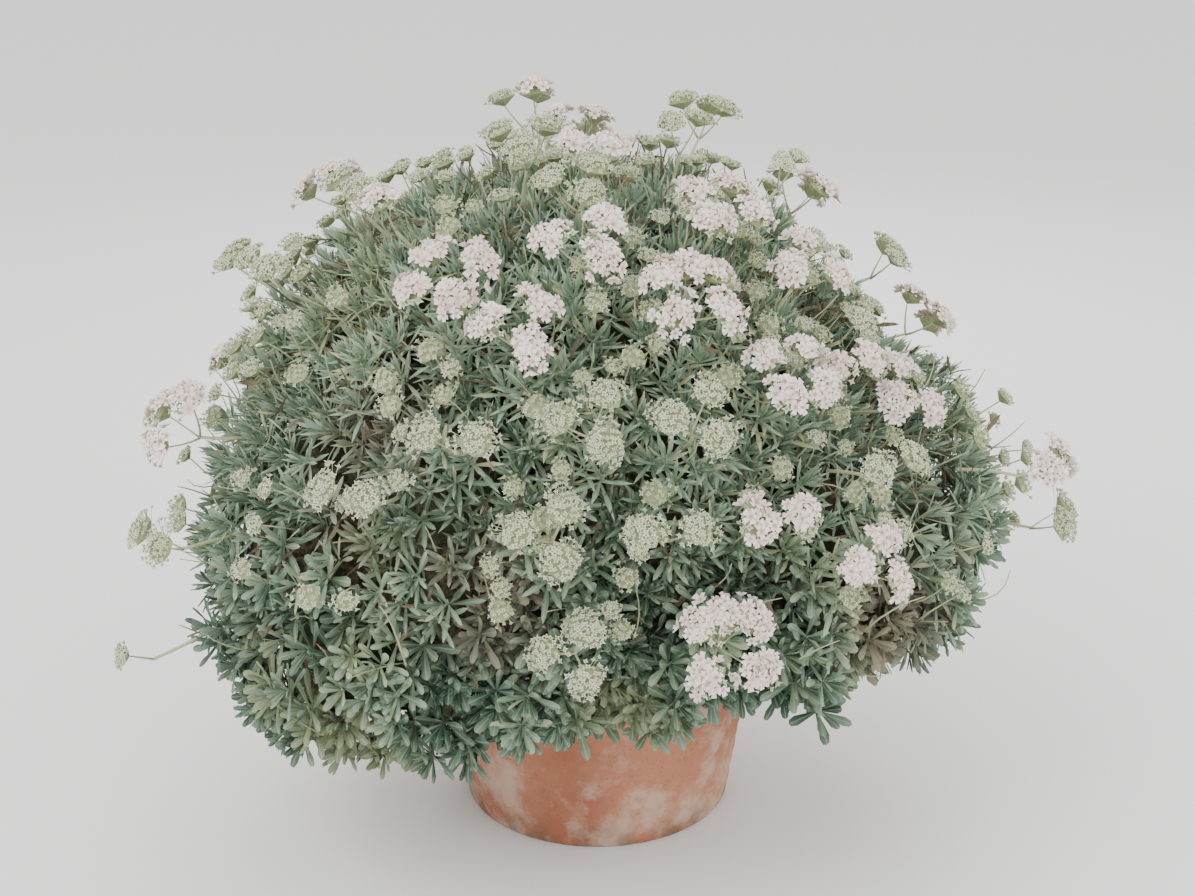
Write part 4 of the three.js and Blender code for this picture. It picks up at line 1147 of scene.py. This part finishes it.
profile = [(0, pot["floor"] + soil["gap"]), (soilFoot, pot["floor"] + soil["gap"])]
profile += [(soilEdge * r, soil["level"] + soil["crown"] * (1 - r)) for r in np.linspace(1, 0.04, 22)]
profile += [(0, soil["level"] + soil["crown"])]
bed = lathe("bed", profile, soil["sides"], soilMaterial, soilWave)
random = np.random.default_rng(soil["seed"])
crumbs = []
for _ in range(soil["crumbs"]):
    r, a = soilEdge * 0.97 * math.sqrt(random.uniform(0.02, 1)), random.uniform(0, math.tau)
    z = soil["level"] + soil["crown"] * (1 - r / soilEdge) + soilWave(r, a)
    size = random.uniform(*soil["crumbSize"])
    place = (r * math.cos(a), r * math.sin(a), z + 0.1 * size)
    crumbs.append((place, unit(random.normal(0, 1, 3)), (size,) * 3, int(random.integers(4)),
                   random.uniform(0, 1), 0.0))
crumbStock = stock("crumbMeshes", [crumbMesh(seed) for seed in range(4)])
crumbPiece = scattered("crumbs", crumbs, crumbStock, soilMaterial, seed=71)
soilPiece = joined("potting_soil", [bed, crumbPiece])

wood = {
    "trunkPath": [(0, 0, 0.2835), (0, 0, soil["level"]), (0.003, -0.002, 0.37), (0.006, -0.004, 0.399),
                  (0.003, -0.002, 0.43), (0, 0, 0.462)],
    "trunkRadii": [0.0245, 0.0265, 0.0235, 0.0205, 0.0205, 0.0195], "top": 0.460, "forkBelow": 0.020,
    "boughs": 5, "boughReach": 0.092, "boughRise": 0.038, "boughRadius": (0.014, 0.010),
    "limbRadius": (0.0066, 0.0045), "limbSunk": 0.012,
}
woodShape = ([], [], [])
tube(woodShape, wood["trunkPath"], wood["trunkRadii"], 14)
forks = []
for i in range(wood["boughs"]):
    a = (i + 0.3 * draw(i, 5)) / wood["boughs"] * math.tau
    forks.append(np.array([wood["boughReach"] * math.cos(a), wood["boughReach"] * math.sin(a),
                           wood["top"] + wood["boughRise"]]))
forks.append(np.array([0.008, 0.006, wood["top"] + wood["boughReach"]]))
start = np.array([0, 0, wood["top"] - wood["forkBelow"]])
for fork in forks:
    tube(woodShape, curved(start, fork, up * -0.006, 6), np.linspace(*wood["boughRadius"], 6), 10)
for axis in branchAxes:
    end = crown + axis * (mound["footAt"] * reachOf(axis) + wood["limbSunk"])
    fork = min(forks, key=lambda f: np.linalg.norm(f - end))
    bow = np.cross(end - fork, up) * 0.1 + up * 0.006
    path = curved(fork - unit(fork - start) * 0.006, end, bow, 7)
    tube(woodShape, path, np.linspace(*wood["limbRadius"], 7), 8)
woodPiece = tubes("trunk_and_boughs", woodShape, barkMaterial)
print("pot, soil and wood done")

# Floor, light and camera
studio = {
    "distance": 2.5, "elevation": 20, "aim": (0, 0, 0.5), "lens": 56.6, "sensor": 36,
    "floorHalf": 30, "floorColour": (0.93, 0.93, 0.92, 1), "sky": 1.3, "lampAim": (0, 0, 0.45),
    "lamps": {"key": ((-2.2, -2.4, 3.4), 110, 2.6), "fill": ((2.8, -1.6, 1.8), 40, 2.5),
              "rim": ((0.6, 2.8, 2.6), 50, 2.0)},  # place, watts and size
}


def lamp(name, place, energy, size):
    made = bpy.data.objects.new(name, bpy.data.lights.new(name, "AREA"))
    made.data.energy, made.data.size = energy, size
    made.location = place
    made.rotation_euler = (Vector(studio["lampAim"]) - Vector(place)).to_track_quat("-Z", "Y").to_euler()
    bpy.context.scene.collection.objects.link(made)


floorMesh = bpy.data.meshes.new("floor")
half = studio["floorHalf"]
floorMesh.from_pydata([(-half, -half, 0), (half, -half, 0), (half, half, 0), (-half, half, 0)], [],
                      [(0, 1, 2, 3)])
floorFinish = Finish("pale_floor", 0.9, 0.1)
floorFinish.surface.inputs["Base Color"].default_value = studio["floorColour"]
floorMesh.materials.append(floorFinish.material)
floor = pieceOf("floor", floorMesh)
world = bpy.data.worlds.new("sky")
bpy.context.scene.world = world
world.use_nodes = True
background = world.node_tree.nodes["Background"]
background.inputs["Color"].default_value = (1, 1, 1, 1)
background.inputs["Strength"].default_value = studio["sky"]
for name, (place, energy, size) in studio["lamps"].items():
    lamp(name, place, energy, size)
camera = bpy.data.objects.new("camera", bpy.data.cameras.new("camera"))
bpy.context.scene.collection.objects.link(camera)
camera.data.lens, camera.data.sensor_width = studio["lens"], studio["sensor"]
tilt = math.radians(studio["elevation"])
aim = Vector(studio["aim"])
camera.location = aim + studio["distance"] * Vector((0, -math.cos(tilt), math.sin(tilt)))
camera.rotation_euler = (aim - camera.location).to_track_quat("-Z", "Y").to_euler()
bpy.context.scene.camera = camera
print("studio set")

branchNodes = [f"leafy_branch_{i + 1:02d}" for i in range(len(branchAxes))]
openNodes = [f"bloom_spray_{i + 1:02d}" for i in range(len(openSprays))]
paleNodes = [f"green_spray_{i + 1:02d}" for i in range(len(paleSprays))]
for piece, node in zip(leafPieces, branchNodes):
    dressed(piece, "foliage", node)
dressed(thatchPiece, "bark", *branchNodes)
dressed(stalkPiece, "foliage", *branchNodes, *openNodes, *paleNodes)
dressed(pinkPiece, "bloom", *openNodes)
dressed(creamPiece, "green_bloom", *paleNodes, *branchNodes)
dressed(nestledPiece, "green_bloom", *branchNodes)
dressed(potPiece, "pot", "pot")
dressed(soilPiece, "soil", "soil")
dressed(woodPiece, "bark", "trunk_and_limbs")
